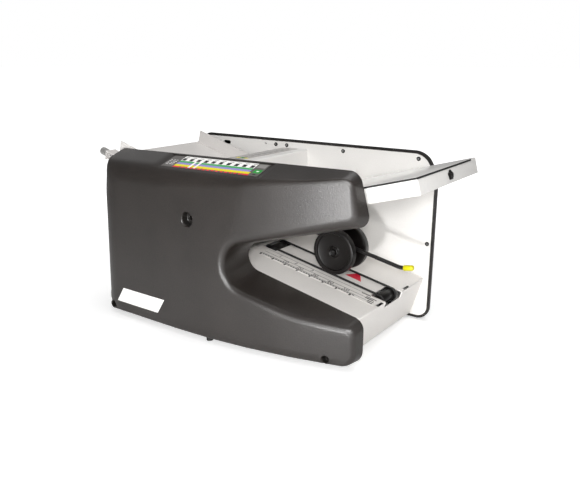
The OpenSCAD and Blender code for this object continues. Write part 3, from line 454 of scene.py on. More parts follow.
def cut_every(bm, faces, normal, low, high):
    """Cuts faces by evenly spaced planes across a direction."""
    for place in range(low, high, FRONT_STEP):
        edges = {e for f in faces for e in f.edges}
        verts = {v for f in faces for v in f.verts}
        geom = faces + list(edges) + list(verts)
        cut = bmesh.ops.bisect_plane(bm, geom=geom, plane_co=normal * place, plane_no=normal, dist=0.001)
        faces = of_kind(cut["geom"], bmesh.types.BMFace)
    return faces


def cover_shell(cover, rim, ridge, front, reach, roundness):
    """Moulded shell drawn from its rim over its rounded ridge and filled with its bowed front."""
    rim_loop = [Vector((p.x, -INNER_Y, p.y)) for p in rounded_loop(rim)]
    lip_loop = [p + Vector((0, -cover.lip, 0)) for p in rim_loop]
    ridge_loop = [Vector((p.x, front_y(cover, p.x, p.y), p.y)) for p in rounded_loop(ridge)]
    front_loop = [Vector((p.x, front_y(cover, p.x, p.y), p.y)) for p in rounded_loop(front)]
    start = []
    for p, q, far in zip(lip_loop, ridge_loop, spread(reach)):
        start.append(q + (p - q) * min(ROUND_LIMIT, far / (p - q).length))
    loops = [rim_loop] + ([lip_loop] if cover.lip else []) + [start]
    for k in range(1, ROUND_STEPS):
        bends = zip(start, ridge_loop, front_loop, spread(roundness))
        loops.append([conic(s, q, f, weight, k / ROUND_STEPS) for s, q, f, weight in bends])
    loops.append(front_loop)
    bm = bmesh.new()
    edges = loft(bm, loops)[1]
    filled = bmesh.ops.triangle_fill(bm, use_beauty=True, edges=edges)["geom"]
    faces = of_kind(filled, bmesh.types.BMFace)
    faces = cut_every(bm, faces, Vector((1, 0, 0)), *FRONT_X)
    faces = cut_every(bm, faces, Vector((0, 0, 1)), *FRONT_Z)
    for v in {v for f in faces for v in f.verts}:
        v.co.y = front_y(cover, v.co.x, v.co.z)
    bmesh.ops.remove_doubles(bm, verts=bm.verts, dist=0.01)
    return facing(bm, (0, -1, 0))


# Corners (x, z, reach) of the near cover's rim, ridge and front, in the same order round the bite, and
# for each side how far the ridge's round reaches inwards and how round it is
TOP_AT = (190, 60, -90)
near_rim = [
    (-281, COVER_GAP, 26),
    (277, COVER_GAP, 26),
    (277, 84.4, 16),
    (150, 110.2, 25),
    (-42.6, 149.4, 109),
    (284, 241.8, 19),
    (262, 323, 18),
    *[(x, rim_z(NEAR, x), 30) for x in TOP_AT],
    (-272, rim_z(NEAR, -272), 6),
    (-281, 256, 20),
]
near_ridge = [
    (-281, 7.5, 34),
    (273, 7.5, 24),
    (270, 73, 14),
    (161.3, 81.8, 29),
    (-85.6, 150.6, 164),
    (270, 245.5, 14),
    (262.5, 316, 16),
    *[(x, crest(NEAR, x), 30) for x in TOP_AT],
    (-272, crest(NEAR, -272), 12),
    (-281, 240, 20),
]
near_front = [
    (-233, 13.5, 30),
    (266.5, 13.5, 18),
    (262.5, 65.5, 10),
    (159, 74, 28),
    (-123.5, 152.9, 200),
    (261.5, 256, 10),
    (256.5, 309, 10),
    *[(x, crest(NEAR, x, inset), 30) for x, inset in zip(TOP_AT, (6, 14, 28))],
    (-227, crest(NEAR, -227, 28.5), 22),
    (-233, 215, 20),
]
near_reach = [6, 7, 9, 10, 13, 7, 4, 8, 24, 29, 44, 48]
near_roundness = [0.72, 0.72, 0.78, 0.78, 0.78, 0.74, 0.85, 0.84, 0.83, 0.83, 0.72, 0.71]

# Pocket for the chart, open to the front, its end walls drafted: its reach along X and down the slope
CHART_X = (-121, 98)
CHART_S = (5, 46)
RECESS = 2
MARGIN = 3
DRAFT = 30
pocket = bmesh.new()
pocket_low = (CHART_X[0] - MARGIN, -CHART_S[1] - 8, -RECESS)
pocket_high = (CHART_X[1] + MARGIN, -CHART_S[0] + 1, 8)
for v in block(pocket, pocket_low, pocket_high):
    if v.co.z > 0:
        v.co.x += math.copysign(DRAFT, v.co.x)
bmesh.ops.transform(pocket, matrix=ON_TOP, verts=pocket.verts)

# Screws of the near cover: the first sits in a dish, the others in small cups. Each has a tube behind it
# that ends at the side plate.
DISH = (-39, 219)
BORES = ((227, 17), (-246, 17))
PLATE_OUT = -125.2
BORE = 4.2
TUBE = 6
SEAT = 6.4
dish_face = front_y(NEAR, *DISH)
dish_place = at(DISH[0], dish_face, DISH[1])
dish_wall = [(12.1, 3), (10.2, 11.3), (9.4, 12), (BORE, 12)]
dish_cut = [(0, -3), (15.2, -3), (14.2, -0.5), (13.3, 0.4), (12.6, 1.4), *dish_wall, (BORE, 25), (0, 25)]
cutters = [pocket, turned_mesh(dish_cut, dish_place, 56)]
tubes = bmesh.new()
cup_end = PLATE_OUT - dish_face
cup = [(15.2, 2.4), (13, 15), (TUBE, 15), (TUBE, cup_end), (BORE, cup_end)]
turn(tubes, dish_wall[:1] + cup + dish_wall[::-1], dish_place, 56)
for x, z in BORES:
    face = front_y(NEAR, x, z)
    mouth = [(0, -4), (8, -4), (7.2, 0.1), (6.6, 0.8), (SEAT, 2), (SEAT, 20), (0, 20)]
    cutters.append(turned_mesh(mouth, at(x, face, z), 40))
    end = PLATE_OUT - face
    outside = [(SEAT, 2), (8.4, 2), (8.4, 10), (TUBE, 12), (TUBE, end)]
    inside = [(BORE, end), (BORE, 10), (SEAT, 10), (SEAT, 2)]
    turn(tubes, outside + inside, at(x, face, z), 40)
make(
    cover_shell(NEAR, near_rim, near_ridge, near_front, near_reach, near_roundness),
    "near_cover_shell",
    "cover",
    abs_charcoal,
    stands_for=["near_cover"],
    wall=WALL,
    cutters=cutters,
)
# The tubes take the darker ABS: painted shade inside the dish and the small cups.
make(tubes, "near_cover_screw_tubes", "cover", abs_rim_and_painted_shade)


# The far panel's upper corner at the feed end is cut off: how far down and back, and the share of a
# growth of the outline by which the two corners of the cut move along their sides
CUT_DOWN = 39
CUT_BACK = 23
DOWN_SHARE = 0.273
BACK_SHARE = 0.571


def panel_edge(grow):
    """Corners of the far panel's outline, grown all round."""
    down = DOWN_SHARE * grow
    back = BACK_SHARE * grow
    return [
        (PANEL_LEFT - grow, COVER_GAP - grow, 22 + grow),
        (PANEL_RIGHT + grow, COVER_GAP - grow, 22 + grow),
        (PANEL_RIGHT + grow, PANEL_TOP - CUT_DOWN + down, 21.3 + down),
        (PANEL_RIGHT - CUT_BACK + back, PANEL_TOP + grow, 20.6 + back),
        (PANEL_LEFT - grow, PANEL_TOP + grow, 12 + grow),
    ]


far_edge = panel_edge(FAR_RIM)
far_left = far_edge[0][0]
far_rim = far_edge[:4] + [(x, FAR.rim_z, 30) for x in TOP_AT] + far_edge[4:]
far_ridge = [
    (far_left, 7.5, 20),
    (273, 7.5, 22),
    (274, 280, 18),
    (254, 316, 14),
    *[(x, crest(FAR, x), 30) for x in TOP_AT],
    (far_left, crest(FAR, far_left), 24),
]
far_front = [
    (-232, 13.5, 12),
    (266, 13.5, 18),
    (265, 274, 14),
    (248, 307, 12),
    *[(x, crest(FAR, x, inset), 30) for x, inset in zip(TOP_AT, (12, 17, 20))],
    (-232, crest(FAR, -232, 20), 22),
]
far_reach = [6, 8, 8, 9, 14, 18, 20, 48]
far_roundness = [0.75] * 8
far_shell = cover_shell(FAR, far_rim, far_ridge, far_front, far_reach, far_roundness)
bmesh.ops.scale(far_shell, vec=(1, -1, 1), verts=far_shell.verts)
facing(far_shell, (0, 1, 0))
switch_hole = box((-141, 180, 47), (-119, 215, 77))
inlet_hole = box((-205, 180, 49), (-175, 215, 75))
make(
    far_shell,
    "far_cover_shell",
    "cover",
    abs_charcoal,
    stands_for=["far_cover"],
    wall=WALL,
    cutters=[switch_hole, inlet_hole],
)

# Bead of the far cover that laps the panel's edge, as (growth of the edge, y) round its section
bead = bmesh.new()
bead_loops = []
bead_section = ((FAR_RIM, 0.9), (FAR_RIM, -0.6), (2.6, -1.2), (-1.2, -1.2), (-1.8, -0.6), (-1.8, 0.9))
for grow, y in bead_section:
    bead_loops.append([Vector((p.x, INNER_Y + y, p.y)) for p in rounded_loop(panel_edge(grow))])
first, last = loft(bead, bead_loops)
bmesh.ops.bridge_loops(bead, edges=first + last)
bmesh.ops.recalc_face_normals(bead, faces=bead.faces)
make(bead, "far_cover_rim_bead", "cover", abs_rim_and_painted_shade)


# Feed table, its knob, and the head over the feed roller

SHEET = 1.5
FEED_LEN = 336
FEED_Y = (-115, 120)
FEED_FLANGE = 27
GUIDE_SLOT = (71.8, 78.2)
GUIDE_TRAVEL = 67.4
GUIDE_STARTS = (-104.7, 37.3)
BAR_HOLE = 5.05
BARS_AT = (47, 214)
BAR_W = -6.5


def feed_table():
    """Pan of bent sheet with cross slots for the guides and holes for its bars."""
    bm = bmesh.new()
    block(bm, (0, FEED_Y[0], -FEED_FLANGE), (FEED_LEN, FEED_Y[1], 0))
    gone = [f for f in bm.faces if f.normal.z < -0.5 or f.normal.x < -0.5]
    bmesh.ops.delete(bm, geom=gone, context="FACES")
    folds = [e for e in bm.edges if len(e.link_faces) == 2]
    bmesh.ops.bevel(bm, geom=folds, offset=2, segments=5, profile=0.5, affect="EDGES", material=-1)
    bmesh.ops.transform(bm, matrix=ON_FEED, verts=bm.verts)
    slots = []
    for start in GUIDE_STARTS:
        low = (GUIDE_SLOT[0], start, -9)
        high = (GUIDE_SLOT[1], start + GUIDE_TRAVEL, 9)
        slots.append(box(low, high, ON_FEED))
    bar = [(0, -130), (BAR_HOLE, -130), (BAR_HOLE, 130), (0, 130)]
    holes = [turned_mesh(bar, ON_FEED @ at(u, 0, BAR_W), 32) for u in BARS_AT]
    make(
        bm,
        "feed_table_pan",
        "table_paint",
        enamel_white,
        stands_for=["feed_table"],
        wall=SHEET,
        cutters=slots + holes,
        soften=0.25,
    )


def lobed_knob(length, radius, lobes, depth, place, steps):
    """Knob along local X with lobes round it, drawn out in steps of (shrink, share of the length)."""
    bm = bmesh.new()
    ring = bmesh.ops.create_circle(bm, segments=lobes * 6, radius=radius, cap_ends=True)["verts"]
    for v in ring:
        angle = math.atan2(v.co.y, v.co.x)
        v.co *= 1 - depth * (0.5 + 0.5 * math.cos(lobes * angle))
    bmesh.ops.transform(bm, matrix=about("Y", 90), verts=bm.verts)
    end = bm.faces[:]
    for k, (shrink, step) in enumerate(steps):
        drawn = bmesh.ops.extrude_face_region(bm, geom=end)["geom"]
        moved = of_kind(drawn, bmesh.types.BMVert)
        inner = end if k else []
        end = of_kind(drawn, bmesh.types.BMFace)
        bmesh.ops.delete(bm, geom=[f for f in inner if f.is_valid], context="FACES_ONLY")
        bmesh.ops.translate(bm, vec=(length * step, 0, 0), verts=moved)
        bmesh.ops.scale(bm, vec=(1, shrink, shrink), verts=moved)
    bmesh.ops.recalc_face_normals(bm, faces=bm.faces)
    bmesh.ops.transform(bm, matrix=place, verts=bm.verts)
    return bm


feed_table()
KNOB_W = -14
nut_steps = ((1, 0.42), (0.93, 0.1), (0.62, 0.08), (0.92, 0.34), (0.8, 0.06))
nut_place = ON_FEED @ at(FEED_LEN + 0.3, 0, KNOB_W)
nut = lobed_knob(length=4.7, radius=8.5, lobes=5, depth=0.24, place=nut_place, steps=nut_steps)
turn(nut, [(0, -8), (2.4, -8), (2.4, 1), (0, 1)], along_x(ON_FEED @ at(FEED_LEN, 0, KNOB_W)), 24)
make(nut, "feed_table_grip", "black_plastic", nylon_black, body="table_knob", stands_for=["feed_table_knob"])

HEAD_TOP = 307
HEAD_SIDE = ((14, 252), (1, 270), (1, HEAD_TOP), (-56, HEAD_TOP), (-66, 258))
BEND = 3
head_path = [(x, -INNER_Y, z) for x, z in HEAD_SIDE]
head = facing(sheet(head_path, (0, 2 * INNER_Y, 0), BEND), (0, 0, 1))
make(
    head,
    "feed_head_shroud",
    "white_paint",
    powder_white,
    stands_for=["feed_head_cover"],
    wall=SHEET,
    soften=0.25,
)


STRIP_X = (-54, -20)
STRIP_Y = (-112, 116)
STRIP_THICK = 0.8
DASH_STEP = 9.6
TAB_STEP = 9


def head_scale():
    """Strip on the head: dashes between two ruled lines, and a small colour tab."""
    bm = bmesh.new()
    top = HEAD_TOP + STRIP_THICK
    block(bm, (STRIP_X[0], STRIP_Y[0], HEAD_TOP), (STRIP_X[1], STRIP_Y[1], top))

    def ink(low, high, tone=1, lift=0.06):
        block(bm, (*low, top - 0.1), (*high, top + lift), tone=tone)

    for x in (-52, -24):
        ink((x, -110), (x + 1.6, 114))
    for k in range(23):
        y = -106 + DASH_STEP * k
        wide = 12 if k % 2 else 7
        ink((-40, y), (-40 + wide, y + 4.6))
    for k in range(3):
        x = -46 + TAB_STEP * k
        ink((x, -47), (x + 8, -39), 3 if k == 1 else 2, 0.1)
    make(
        bm,
        "feed_head_scale",
        "scale",
        film_strip,
        ink_grey,
        ink_yellow,
        ink_leaf,
        stands_for=["feed_scale_strip"],
        soften=0.1,
    )


head_scale()


# Upper fold table and the knob of its stop

UPPER_U = (-6, 226)
UPPER_Y = (-118, 106)
UPPER_FLANGE = 26
BEAD_HIGH = 1.2
GRIP_AT = (-48, -109, -19)


def upper_table():
    """Tray of bent sheet with two flanges and a pressed bead beside the far one."""
    start = UPPER_U[0]
    near, far = UPPER_Y
    beading = [(far - 10, 0), (far - 8.5, BEAD_HIGH), (far - 7, 0)]
    path = [(near, UPPER_FLANGE), (near, 0), *beading, (far, 0), (far, UPPER_FLANGE)]
    bm = sheet([(start, y, w) for y, w in path], (UPPER_U[1] - start, 0, 0), 1.2)
    facing(bm, (0, 0, 1))
    bmesh.ops.transform(bm, matrix=ON_UPPER, verts=bm.verts)
    ends = [box((214, y - 5, 3), (240, y + 5, 40), ON_UPPER) for y in UPPER_Y]
    slot = box((52, 20, -5), (56, 34, 5), ON_UPPER)
    make(
        bm,
        "upper_fold_tray",
        "white_paint",
        powder_pale,
        stands_for=["upper_fold_plate"],
        wall=SHEET,
        cutters=ends + [slot],
        soften=0.2,
    )


upper_table()
grip_place = ON_UPPER @ at(*GRIP_AT) @ about("Z", 180)
grip_steps = ((1, 0.88), (0.94, 0.06), (0.78, 0.04), (0.4, 0.02))
grip = lobed_knob(length=20, radius=8, lobes=18, depth=0.06, place=grip_place, steps=grip_steps)
make(grip, "fold_stop_grip", "steel", zinc_sheet, body="stop_knob", stands_for=["fold_stop_knob"])


# Delivery tray, its print and its belt rollers

TRAY_RUN = 277
TRAY_FOOT = ((244, 8), (228, 8))
REAR_POCKET = ((-273, -27.5, -6), (-243, 27.5, 6))
FRONT_POCKET = ((-31, -30.5, -12), (9, 30.5, 8))
EDGE_SLOT = (-6.4, -1.4)
EDGE_SLOTS_AT = (-47, 54)


def tray():
    """Sloping tray whose front edge bends down to the floor, with its roller pockets and edge slots."""
    x, z = TRAY_EDGE
    path = [(x - TRAY_RUN, z + TRAY_RUN * tan(TRAY_SLOPE)), TRAY_EDGE, *TRAY_FOOT]
    bm = sheet([(x, -INNER_Y, z) for x, z in path], (0, 2 * INNER_Y, 0), BEND)
    facing(bm, (0.2, 0, 1))
    pockets = [box(*corners, ON_TRAY) for corners in (REAR_POCKET, FRONT_POCKET)]
    slots = [box((EDGE_SLOT[0], y - 11, -4), (EDGE_SLOT[1], y + 11, 4), ON_TRAY) for y in EDGE_SLOTS_AT]
    make(
        bm,
        "delivery_tray",
        "tray_paint",
        powder_grey,
        stands_for=["exit_tray"],
        wall=SHEET,
        cutters=pockets + slots,
        soften=0.25,
    )


def digits(bm, words, size, place, tone):
    """Flat figures, made into mesh and laid in a frame."""
    curve = bpy.data.curves.new("figures", "FONT")
    curve.body = words
    curve.size = size
    curve.align_x = "CENTER"
    curve.align_y = "CENTER"
    holder = bpy.data.objects.new("figures", curve)
    bpy.context.scene.collection.objects.link(holder)
    bpy.context.view_layer.update()
    mesh = bpy.data.meshes.new_from_object(holder.evaluated_get(bpy.context.evaluated_depsgraph_get()))
    mesh.transform(place)
    before = set(bm.faces)
    bm.from_mesh(mesh)
    for face in set(bm.faces) - before:
        face.material_index = tone
    bpy.data.objects.remove(holder)
    bpy.data.meshes.remove(mesh)


# Steps of the tray's ticks and dashes, its rows of figures as (count, unit, size, start, step, y), and
# its blank text lines as (start, y, length)
TICK = 28.1
DASH = 5.8
FIGURES = ((3, 1, 11, -222, 36, -39.2), (5, 10, 13, -202, 33, -50.4))
TEXT_LINES = ((-46, -36, 18), (-33, -42, 20), (-33, -47.5, 18), (-25, -53, 12), (-23, -58.5, 10))


FILMS = (((-256, -63), (-34, -28.5)), ((-34, -63), (-8, -31.5)))
FILM = 0.4
INK_LOW = 0.38
INK_TOP = 0.46


def tray_scale():
    """Printed film along the tray: ruled lines, dashes, ticks, plain figures and blank text lines."""
    bm = bmesh.new()
    for low, high in FILMS:
        block(bm, (*low, 0), (*high, FILM), ON_TRAY)

    def ink(u, y, long, wide, tone=1):
        block(bm, (u, y - wide / 2, INK_LOW), (u + long, y + wide / 2, INK_TOP), ON_TRAY, tone)

    for y in (-33, -45.5, -54.5):
        ink(-254, y, 236, 1.2, 2)
    for k in range(36):
        ink(-256 + DASH * k, -58, 4.2, 2.6)
    for k in range(8):
        ink(-254 + TICK * k, -62, 3.4, 5.4)
    for count, unit, size, start, step, y in FIGURES:
        for k in range(count):
            digits(bm, str(unit * (k + 1)), size, ON_TRAY @ at(start + step * k, y, 0.47), 1)
    for u, y, long in TEXT_LINES:
        ink(u, y, long, 2.4)
    make(bm, "tray_scale_film", "label", film_tray, ink_black, ink_grey, stands_for=["tray_label"])


tray()
tray_scale()
arrow = bmesh.new()
arrow_corners = ((-103, 1.5), (-69, 0.5), (-88.5, 31))
raised_shape(arrow, [ON_TRAY @ Vector((u, y, 0.02)) for u, y in arrow_corners], (0, 0, 0.25))
make(arrow, "tray_arrow_print", "label", ink_red)

# The round belts run at this distance from the middle, in grooves of this (radius, y) section
CORD_Y = 22.5
GROOVE = ((10.6, -3), (10.2, -2.4), (9.2, -1.8), (9, 0), (9.2, 1.8), (10.2, 2.4), (10.6, 3))


def belt_roller(name, centre, half, body, node, extra):
    """Grooved roller with rounded shoulders on its shaft."""
    bm = bmesh.new()
    profile = [(0, -half), (9.6, -half), (10.6, -half + 1)]
    for cord in (-CORD_Y, CORD_Y):
        profile += [(r, cord + y) for r, y in GROOVE]
    profile += [(10.6, half - 1), (9.6, half), (0, half)]
    for steps in [profile] + extra:
        turn(bm, steps, at(centre[0], 0, centre[1]), 56)
    make(bm, name, "black_plastic", nylon_black, body=body, stands_for=[node])


front_shaft = [(0, -34), (2.5, -34), (3, -33.4), (3, 33.4), (2.5, 34), (0, 34)]
rear_shaft = [(0, -137), (4, -137), (4, 125.4), (0, 125.4)]
rear_pulley = [(4, -136), (9.8, -136), (9.8, -135.2), (9, -135)]
rear_pulley += [(9, -130), (9.8, -129.8), (9.8, -129), (4, -129)]
FRONT_ROLLER = (248.59, 80.97)
REAR_ROLLER = (14.39, 128.62)
belt_roller("front_belt_roller", FRONT_ROLLER, 29.5, "front_roller", "conveyor_front_roller", [front_shaft])
rear_extra = [rear_shaft, rear_pulley]
belt_roller("rear_belt_roller", REAR_ROLLER, 25.5, "rear_roller", "conveyor_rear_roller", rear_extra)


# Stacker: wheels, their screws, the block that carries them, the rod and its cap. The wheels' profile
# runs from the bore along the inner face, over the tread and the raised rim to the hub.

WHEEL = at(159.03, 0, 154.91)
tread = [(4.05, 15.5), (37.5, 15.5), (39.8, 15.9), (41, 17.4), (41, 27.6), (40.4, 28.9), (39.2, 29.5)]
tread += [(35.4, 29.5), (34.3, 29.2), (33.8, 28.4), (33.2, 26.4), (32.4, 25.9), (11.4, 25.9), (10.4, 26.6)]
tread += [(9.3, 29.1), (8.2, 29.4), (7.2, 28.8), (6.6, 27.6), (4.05, 27.4), (4.05, 15.5)]
screw_head = [(0, 29.2), (2.6, 29.2), (2.8, 30.0), (2.9, 31.4)]
screw_head += [(4.4, 31.8), (5.3, 30.9), (5.5, 29.9), (0, 29.85)]
wheels = bmesh.new()
heads = bmesh.new()
for side in (-1, 1):
    turn(wheels, [(r, side * y) for r, y in tread], WHEEL, 96)
    turn(heads, [(r, side * y) for r, y in screw_head], WHEEL, 40)
make(wheels, "stacker_wheel_pair", "black_plastic", nylon_black, body="wheels", stands_for=["stacker_wheels"])
make(heads, "stacker_wheel_screws", "black_steel", steel_black, body="carriage", stands_for=["wheel_screws"])

# The rod lies ROD_W above the tray, and bends up by ROD_BEND degrees about a point above its straight end
ROD_W = 56.1
ROD_R = 3.5
ROD_BEND = 22.5
ROD_EYE = -248
ROD_START = -240
ROD_END = -9
BEND_R = 36
# The carriage's block on the rod and its clamp screw, along the tray
BLOCK_LOW = (-134.5, -14, 37.6)
BLOCK_HIGH = (-108.5, 14, 63.6)
CLAMP_AT = -121.5


def carriage():
    """Block on the rod with an axle and a clamp screw."""
    bm = bmesh.new()
    block(bm, BLOCK_LOW, BLOCK_HIGH, ON_TRAY)
    bmesh.ops.bevel(bm, geom=bm.edges[:], offset=2, segments=4, profile=0.5, affect="EDGES", material=-1)
    turn(bm, [(0, -29.8), (4, -29.8), (4, 29.8), (0, 29.8)], WHEEL, 32)
    screw = [(0, 62), (4.6, 62), (4.6, 65.4), (4, 66.4), (2.4, 66.4), (2.3, 65), (0, 65)]
    turn(bm, screw, ON_TRAY @ at(CLAMP_AT, 0, 0) @ about("X", 90), 24)
    make(
        bm,
        "stacker_slide_block",
        "black_plastic",
        nylon_black,
        body="carriage",
        stands_for=["stacker_carriage"],
    )


def stacker_rod():
    """Round rod from its eye along the tray to a smooth upward bend."""
    bm = bmesh.new()
    ring = bmesh.ops.create_circle(bm, segments=28, radius=ROD_R)["verts"]
    bmesh.ops.transform(bm, matrix=at(ROD_START, 0, ROD_W) @ about("Y", 90), verts=ring)
    drawn = bmesh.ops.extrude_edge_only(bm, edges=bm.edges[:])["geom"]
    edges = [e for e in of_kind(drawn, bmesh.types.BMEdge) if len(e.link_faces) == 1]
    verts = list({v for e in edges for v in e.verts})
    bmesh.ops.translate(bm, vec=(ROD_END - ROD_START, 0, 0), verts=verts)
    bend = bmesh.ops.spin(
        bm,
        geom=edges + verts,
        cent=(ROD_END, 0, ROD_W + BEND_R),
        axis=(0, -1, 0),
        angle=math.radians(ROD_BEND),
        steps=8,
    )["geom_last"]
    drawn = bmesh.ops.extrude_edge_only(bm, edges=of_kind(bend, bmesh.types.BMEdge))["geom"]
    tip = about("Y", -ROD_BEND) @ Vector((10, 0, 0))
    bmesh.ops.translate(bm, vec=tip, verts=of_kind(drawn, bmesh.types.BMVert))
    bmesh.ops.holes_fill(bm, edges=[e for e in bm.edges if len(e.link_faces) == 1])
    bmesh.ops.recalc_face_normals(bm, faces=bm.faces)
    eye = [(5.05, -9), (9, -9), (10, -8), (10, 8), (9, 9), (5.05, 9), (5.05, -9)]
    turn(bm, eye, at(ROD_EYE, 0, ROD_W), 48)
    bmesh.ops.transform(bm, matrix=ON_TRAY, verts=bm.verts)
    make(bm, "stacker_arm_rod", "black_steel", steel_black, body="stacker_arm", stands_for=["stacker_rod"])


carriage()
stacker_rod()
end_cap = bmesh.new()
cap_profile = [(3.6, 0), (4.6, 0), (5, 0.6), (5, 13), (4.8, 15.2), (4.0, 17), (2.4, 17.8), (0, 18)]
cap_place = along_x(ON_TRAY @ at(-1, 0, ROD_W) @ about("Y", -ROD_BEND)) @ at(0, 5.1, 0)
turn(end_cap, cap_profile, cap_place, 36)
make(end_cap, "rod_end_cap", "yellow_cap", vinyl_yellow, body="stacker_arm", stands_for=["rod_cap"])


# Labels and panel screws

# Steps of the chart's squares and red dashes, and the red band's place down the slope
SQUARE_STEP = 17.26
RED_STEP = 10
RED_S = (41.5, 45.8)


def chart():
    """Film on the top slope with a row of squares over four colour bands."""
    bm = bmesh.new()
    top = INK_LOW - RECESS
    block(bm, (CHART_X[0], -CHART_S[1], -RECESS), (CHART_X[1], -CHART_S[0], FILM - RECESS), ON_TOP)

    def ink(x0, x1, s0, s1, tone, lift=0.06):
        block(bm, (x0, -s1, top), (x1, -s0, top + lift), ON_TOP, tone)

    ink(-93, 74, 5.3, 22, 1)
    for k in range(10):
        x = -87.4 + SQUARE_STEP * k
        ink(x - 4, x + 4, 12.6, 21, 2, 0.1)
        ink(x - 3, x + 6, 8.2, 10, 7, 0.1)
    ink(-92.5, 73.5, 22, 28, 3)
    ink(-92.5, 74, 28, 34.5, 4)
    ink(-92.5, 77.4, 34.5, 41.5, 5)
    for k in range(16):
        x = -92.5 + RED_STEP * k
        ink(x, x + 6, *RED_S, 6)
    for x in (-92.5, 65.5):
        ink(x, x + 13, *RED_S, 6, 0.08)
    for x in (-58, -45.5):
        ink(x, x + 5, 21, 43, 1, 0.1)
    ink(80.5, 96, 25, 36.5, 8, 0.08)
    ink(86, 91, 29, 32, 1, 0.12)
    ink(85, 91, 39, 42, 2)
    ink(77, 95, 7, 19, 7)
    for k in range(4):
        for x in (-117, -109, -103):
            ink(x, x + 4 + k % 2, 21 + 5 * k, 22.4 + 5 * k, 1)
    make(
        bm,
        "setting_chart_film",
        "chart",
        film_grey,
        film_white,
        ink_black,
        ink_green,
        ink_lilac,
        ink_yellow,
        ink_red,
        ink_grey,
        ink_leaf,
        stands_for=["chart_label"],
    )


chart()
badge = bmesh.new()
badge_corners = ((-230, 23), (-118, 23), (-100, 51.5), (-212, 51.5))
raised_shape(badge, [ON_FRONT @ Vector((x, 0.6, up)) for x, up in badge_corners], (0, -1, 0))
make(badge, "blank_badge", "label", film_white, stands_for=["badge_plate"], soften=0.15)

fixings = bmesh.new()
socket = [(0, 1.3), (1.7, 1.3), (1.7, -14), (0, -14)]
shoulder = [(1.7, 1.3), (1.9, 2.0), (2.7, 2.0), (3.5, 1.5), (4, 0.7), (4, 0), (1.7, 0), (1.7, 1.3)]
fixings_at = ((-79, 312), (-51, 312), (85, 311), (244.4, 310), (271, 153.5), (-262, 30), (200, 20))
# Each screw has a bright turned-steel centre and a black steel flank: a dark ring round a light centre.
for x, z in fixings_at:
    turn(fixings, [(r, INNER_Y - y) for r, y in socket], at(x, 0, z), 32)
    turn(fixings, [(r, INNER_Y - y) for r, y in shoulder], at(x, 0, z), 32, tone=1)
make(fixings, "panel_button_screws", "steel", steel_turned, steel_black, stands_for=["panel_screws"])


# Finishes of the solids that stay as they are

CAD_FINISHES = {
    powder_white: ("near_side_plate", "far_side_plate", "end_panel", "near_paper_guide", "far_paper_guide"),
    powder_pale: ("fold_rod_bracket",),
    zinc_sheet: (
        "base_plate",
        "separator_bracket",
        "upper_fold_under_plate",
        "lower_fold_plates",
        "delivery_chute",
        "front_roller_bracket",
    ),
    steel_turned: ("tie_bars", "feed_roller_shaft", "upper_fold_stop", "lower_fold_stop"),
    steel_black: ("cover_screws",),
    rubber_black: (
        "feet",
        "feed_table_trim",
        "feed_roller_tyres",
        "drive_belt",
        "feed_belt",
        "delivery_belt",
        "conveyor_belts",
    ),
    rubber_ground: ("separator_pad", "fold_roller_a", "fold_roller_b", "fold_roller_c", "fold_roller_d"),
    nylon_natural: ("fold_gear_a", "fold_gear_b", "fold_gear_c", "fold_gear_d"),
    nylon_black: ("switch_bezel", "power_rocker", "power_inlet"),
    bronze: ("roller_bushes",),
    aluminium: ("drive_pulley", "motor_pulley"),
    motor_paint: ("motor",),
}
for material, names in CAD_FINISHES.items():
    for name in names:
        for material_slot in cad[name].material_slots:
            material_slot.material = material


# Studio: floor, lights, backdrop and camera

floor = bmesh.new()
bmesh.ops.create_grid(floor, x_segments=8, y_segments=8, size=30)
floor_mesh = bpy.data.meshes.new("studio_floor")
floor.to_mesh(floor_mesh)
floor.free()
floor_object = bpy.data.objects.new("studio_floor", floor_mesh)
bpy.context.scene.collection.objects.link(floor_object)
# Matt backdrop paper: white, no sheen, with a painted glow that only the camera sees, weaker near the machine
# so that its shadows show and full white far off.
paper = finish("backdrop_paper", "#f4f4f4", "#f6f6f6", (0.9, 0.95), 20, 0.002, broad=400)
paper_tree = paper.node_tree
paper_surface = paper_tree.nodes["Principled BSDF"]
paper_surface.inputs["Emission Color"].default_value = (1, 1, 1, 1)
FLOOR_GLOW = (0.35, 1.0)
FLOOR_FADE = (0.5, 1.2)
paper_place = add(paper_tree, "TexCoord").outputs["Object"]
away = add(paper_tree, "VectorMath", {"Vector": paper_place}, operation="LENGTH").outputs["Value"]
rise = {"Value": away, "From Min": FLOOR_FADE[0], "From Max": FLOOR_FADE[1]}
rise |= {"To Min": FLOOR_GLOW[0], "To Max": FLOOR_GLOW[1]}
floor_glow = add(paper_tree, "MapRange", rise).outputs["Result"]
floor_seen = add(paper_tree, "LightPath").outputs["Is Camera Ray"]
shown = add(paper_tree, "Math", {0: floor_glow, 1: floor_seen}, operation="MULTIPLY")
paper_tree.links.new(shown.outputs["Value"], paper_surface.inputs["Emission Strength"])
floor_mesh.materials.append(paper)


def softbox(name, place, target, size, power):
    """Square area light aimed at a point."""
    light = bpy.data.lights.new(name, "AREA")
    light.shape = "SQUARE"
    light.size = size
    light.energy = power
    holder = bpy.data.objects.new(name, light)
    holder.location = place
    aim = Vector(target) - Vector(place)
    holder.rotation_euler = aim.to_track_quat("-Z", "Y").to_euler()
    holder.visible_camera = False
    bpy.context.scene.collection.objects.link(holder)


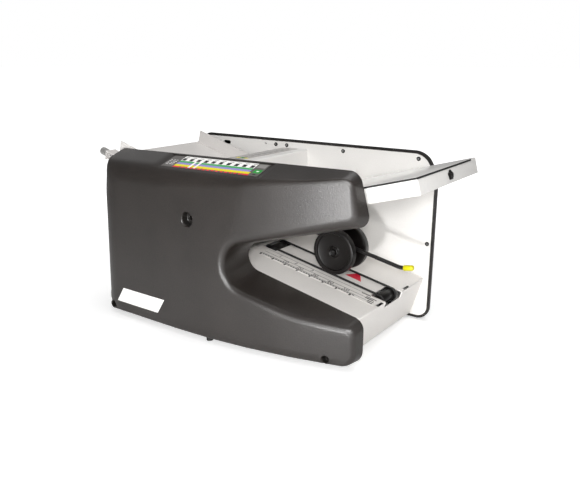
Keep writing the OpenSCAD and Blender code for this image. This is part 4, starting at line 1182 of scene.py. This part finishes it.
# Name, place and target in metres, side in metres and power in watts
LIGHTS = (
    ("card_softbox", (0.38, -1.25, 0.02), (0.25, -0.17, 0.28), 0.12, 10),
    ("low_softbox", (0.46, -2.0, 0.12), (0.1, 0, 0.2), 0.22, 3),
    ("key_softbox", (1.1, -1.52, 0.8), (0.1, 0, 0.2), 0.2, 21),
    ("front_softbox", (0.5, -1.8, 0.85), (0.1, 0, 0.15), 0.5, 12),
    ("right_softbox", (1.7, -0.6, 0.8), (0.15, 0, 0.12), 0.7, 1.5),
    ("back_softbox", (-1.6, 0.6, 1.2), (0, 0, 0.3), 0.8, 1),
    ("top_softbox", (0.2, 0.3, 2.4), (0, 0, 0.1), 1.8, 26),
)
for light in LIGHTS:
    softbox(*light)
BACKDROP_GLOW = (0.2, 1.0)
world = bpy.data.worlds.new("studio")
world.use_nodes = True
sky = world.node_tree
sky_seen = add(sky, "LightPath").outputs["Is Camera Ray"]
sky_glow = add(sky, "MapRange", {"Value": sky_seen, "To Min": BACKDROP_GLOW[0], "To Max": BACKDROP_GLOW[1]})
sky.links.new(sky_glow.outputs["Result"], sky.nodes["Background"].inputs["Strength"])
sky.nodes["Background"].inputs["Color"].default_value = (1, 1, 1, 1)
bpy.context.scene.world = world
bpy.context.scene.view_settings.view_transform = "Standard"

# Camera fitted to the photograph's straight edges: its place in millimetres and where it looks
CAMERA_PLACE = (723.9, -946.6, 485.0)
FORWARD = Vector((-0.5579, 0.7776, -0.2900)).normalized()
RIGHT = Vector((0.8125, 0.5829, 0)).normalized()
FOCAL_LENGTH = 39.33
lens = bpy.data.cameras.new("photo_camera")
lens.lens = FOCAL_LENGTH
lens.sensor_width = 36
lens.clip_end = 100
camera = bpy.data.objects.new("photo_camera", lens)
axes = Matrix((RIGHT, RIGHT.cross(FORWARD), -FORWARD)).transposed()
camera.matrix_world = Matrix.Translation(TO_FRAME @ Vector(CAMERA_PLACE)) @ axes.to_4x4()
bpy.context.scene.collection.objects.link(camera)
bpy.context.scene.camera = camera
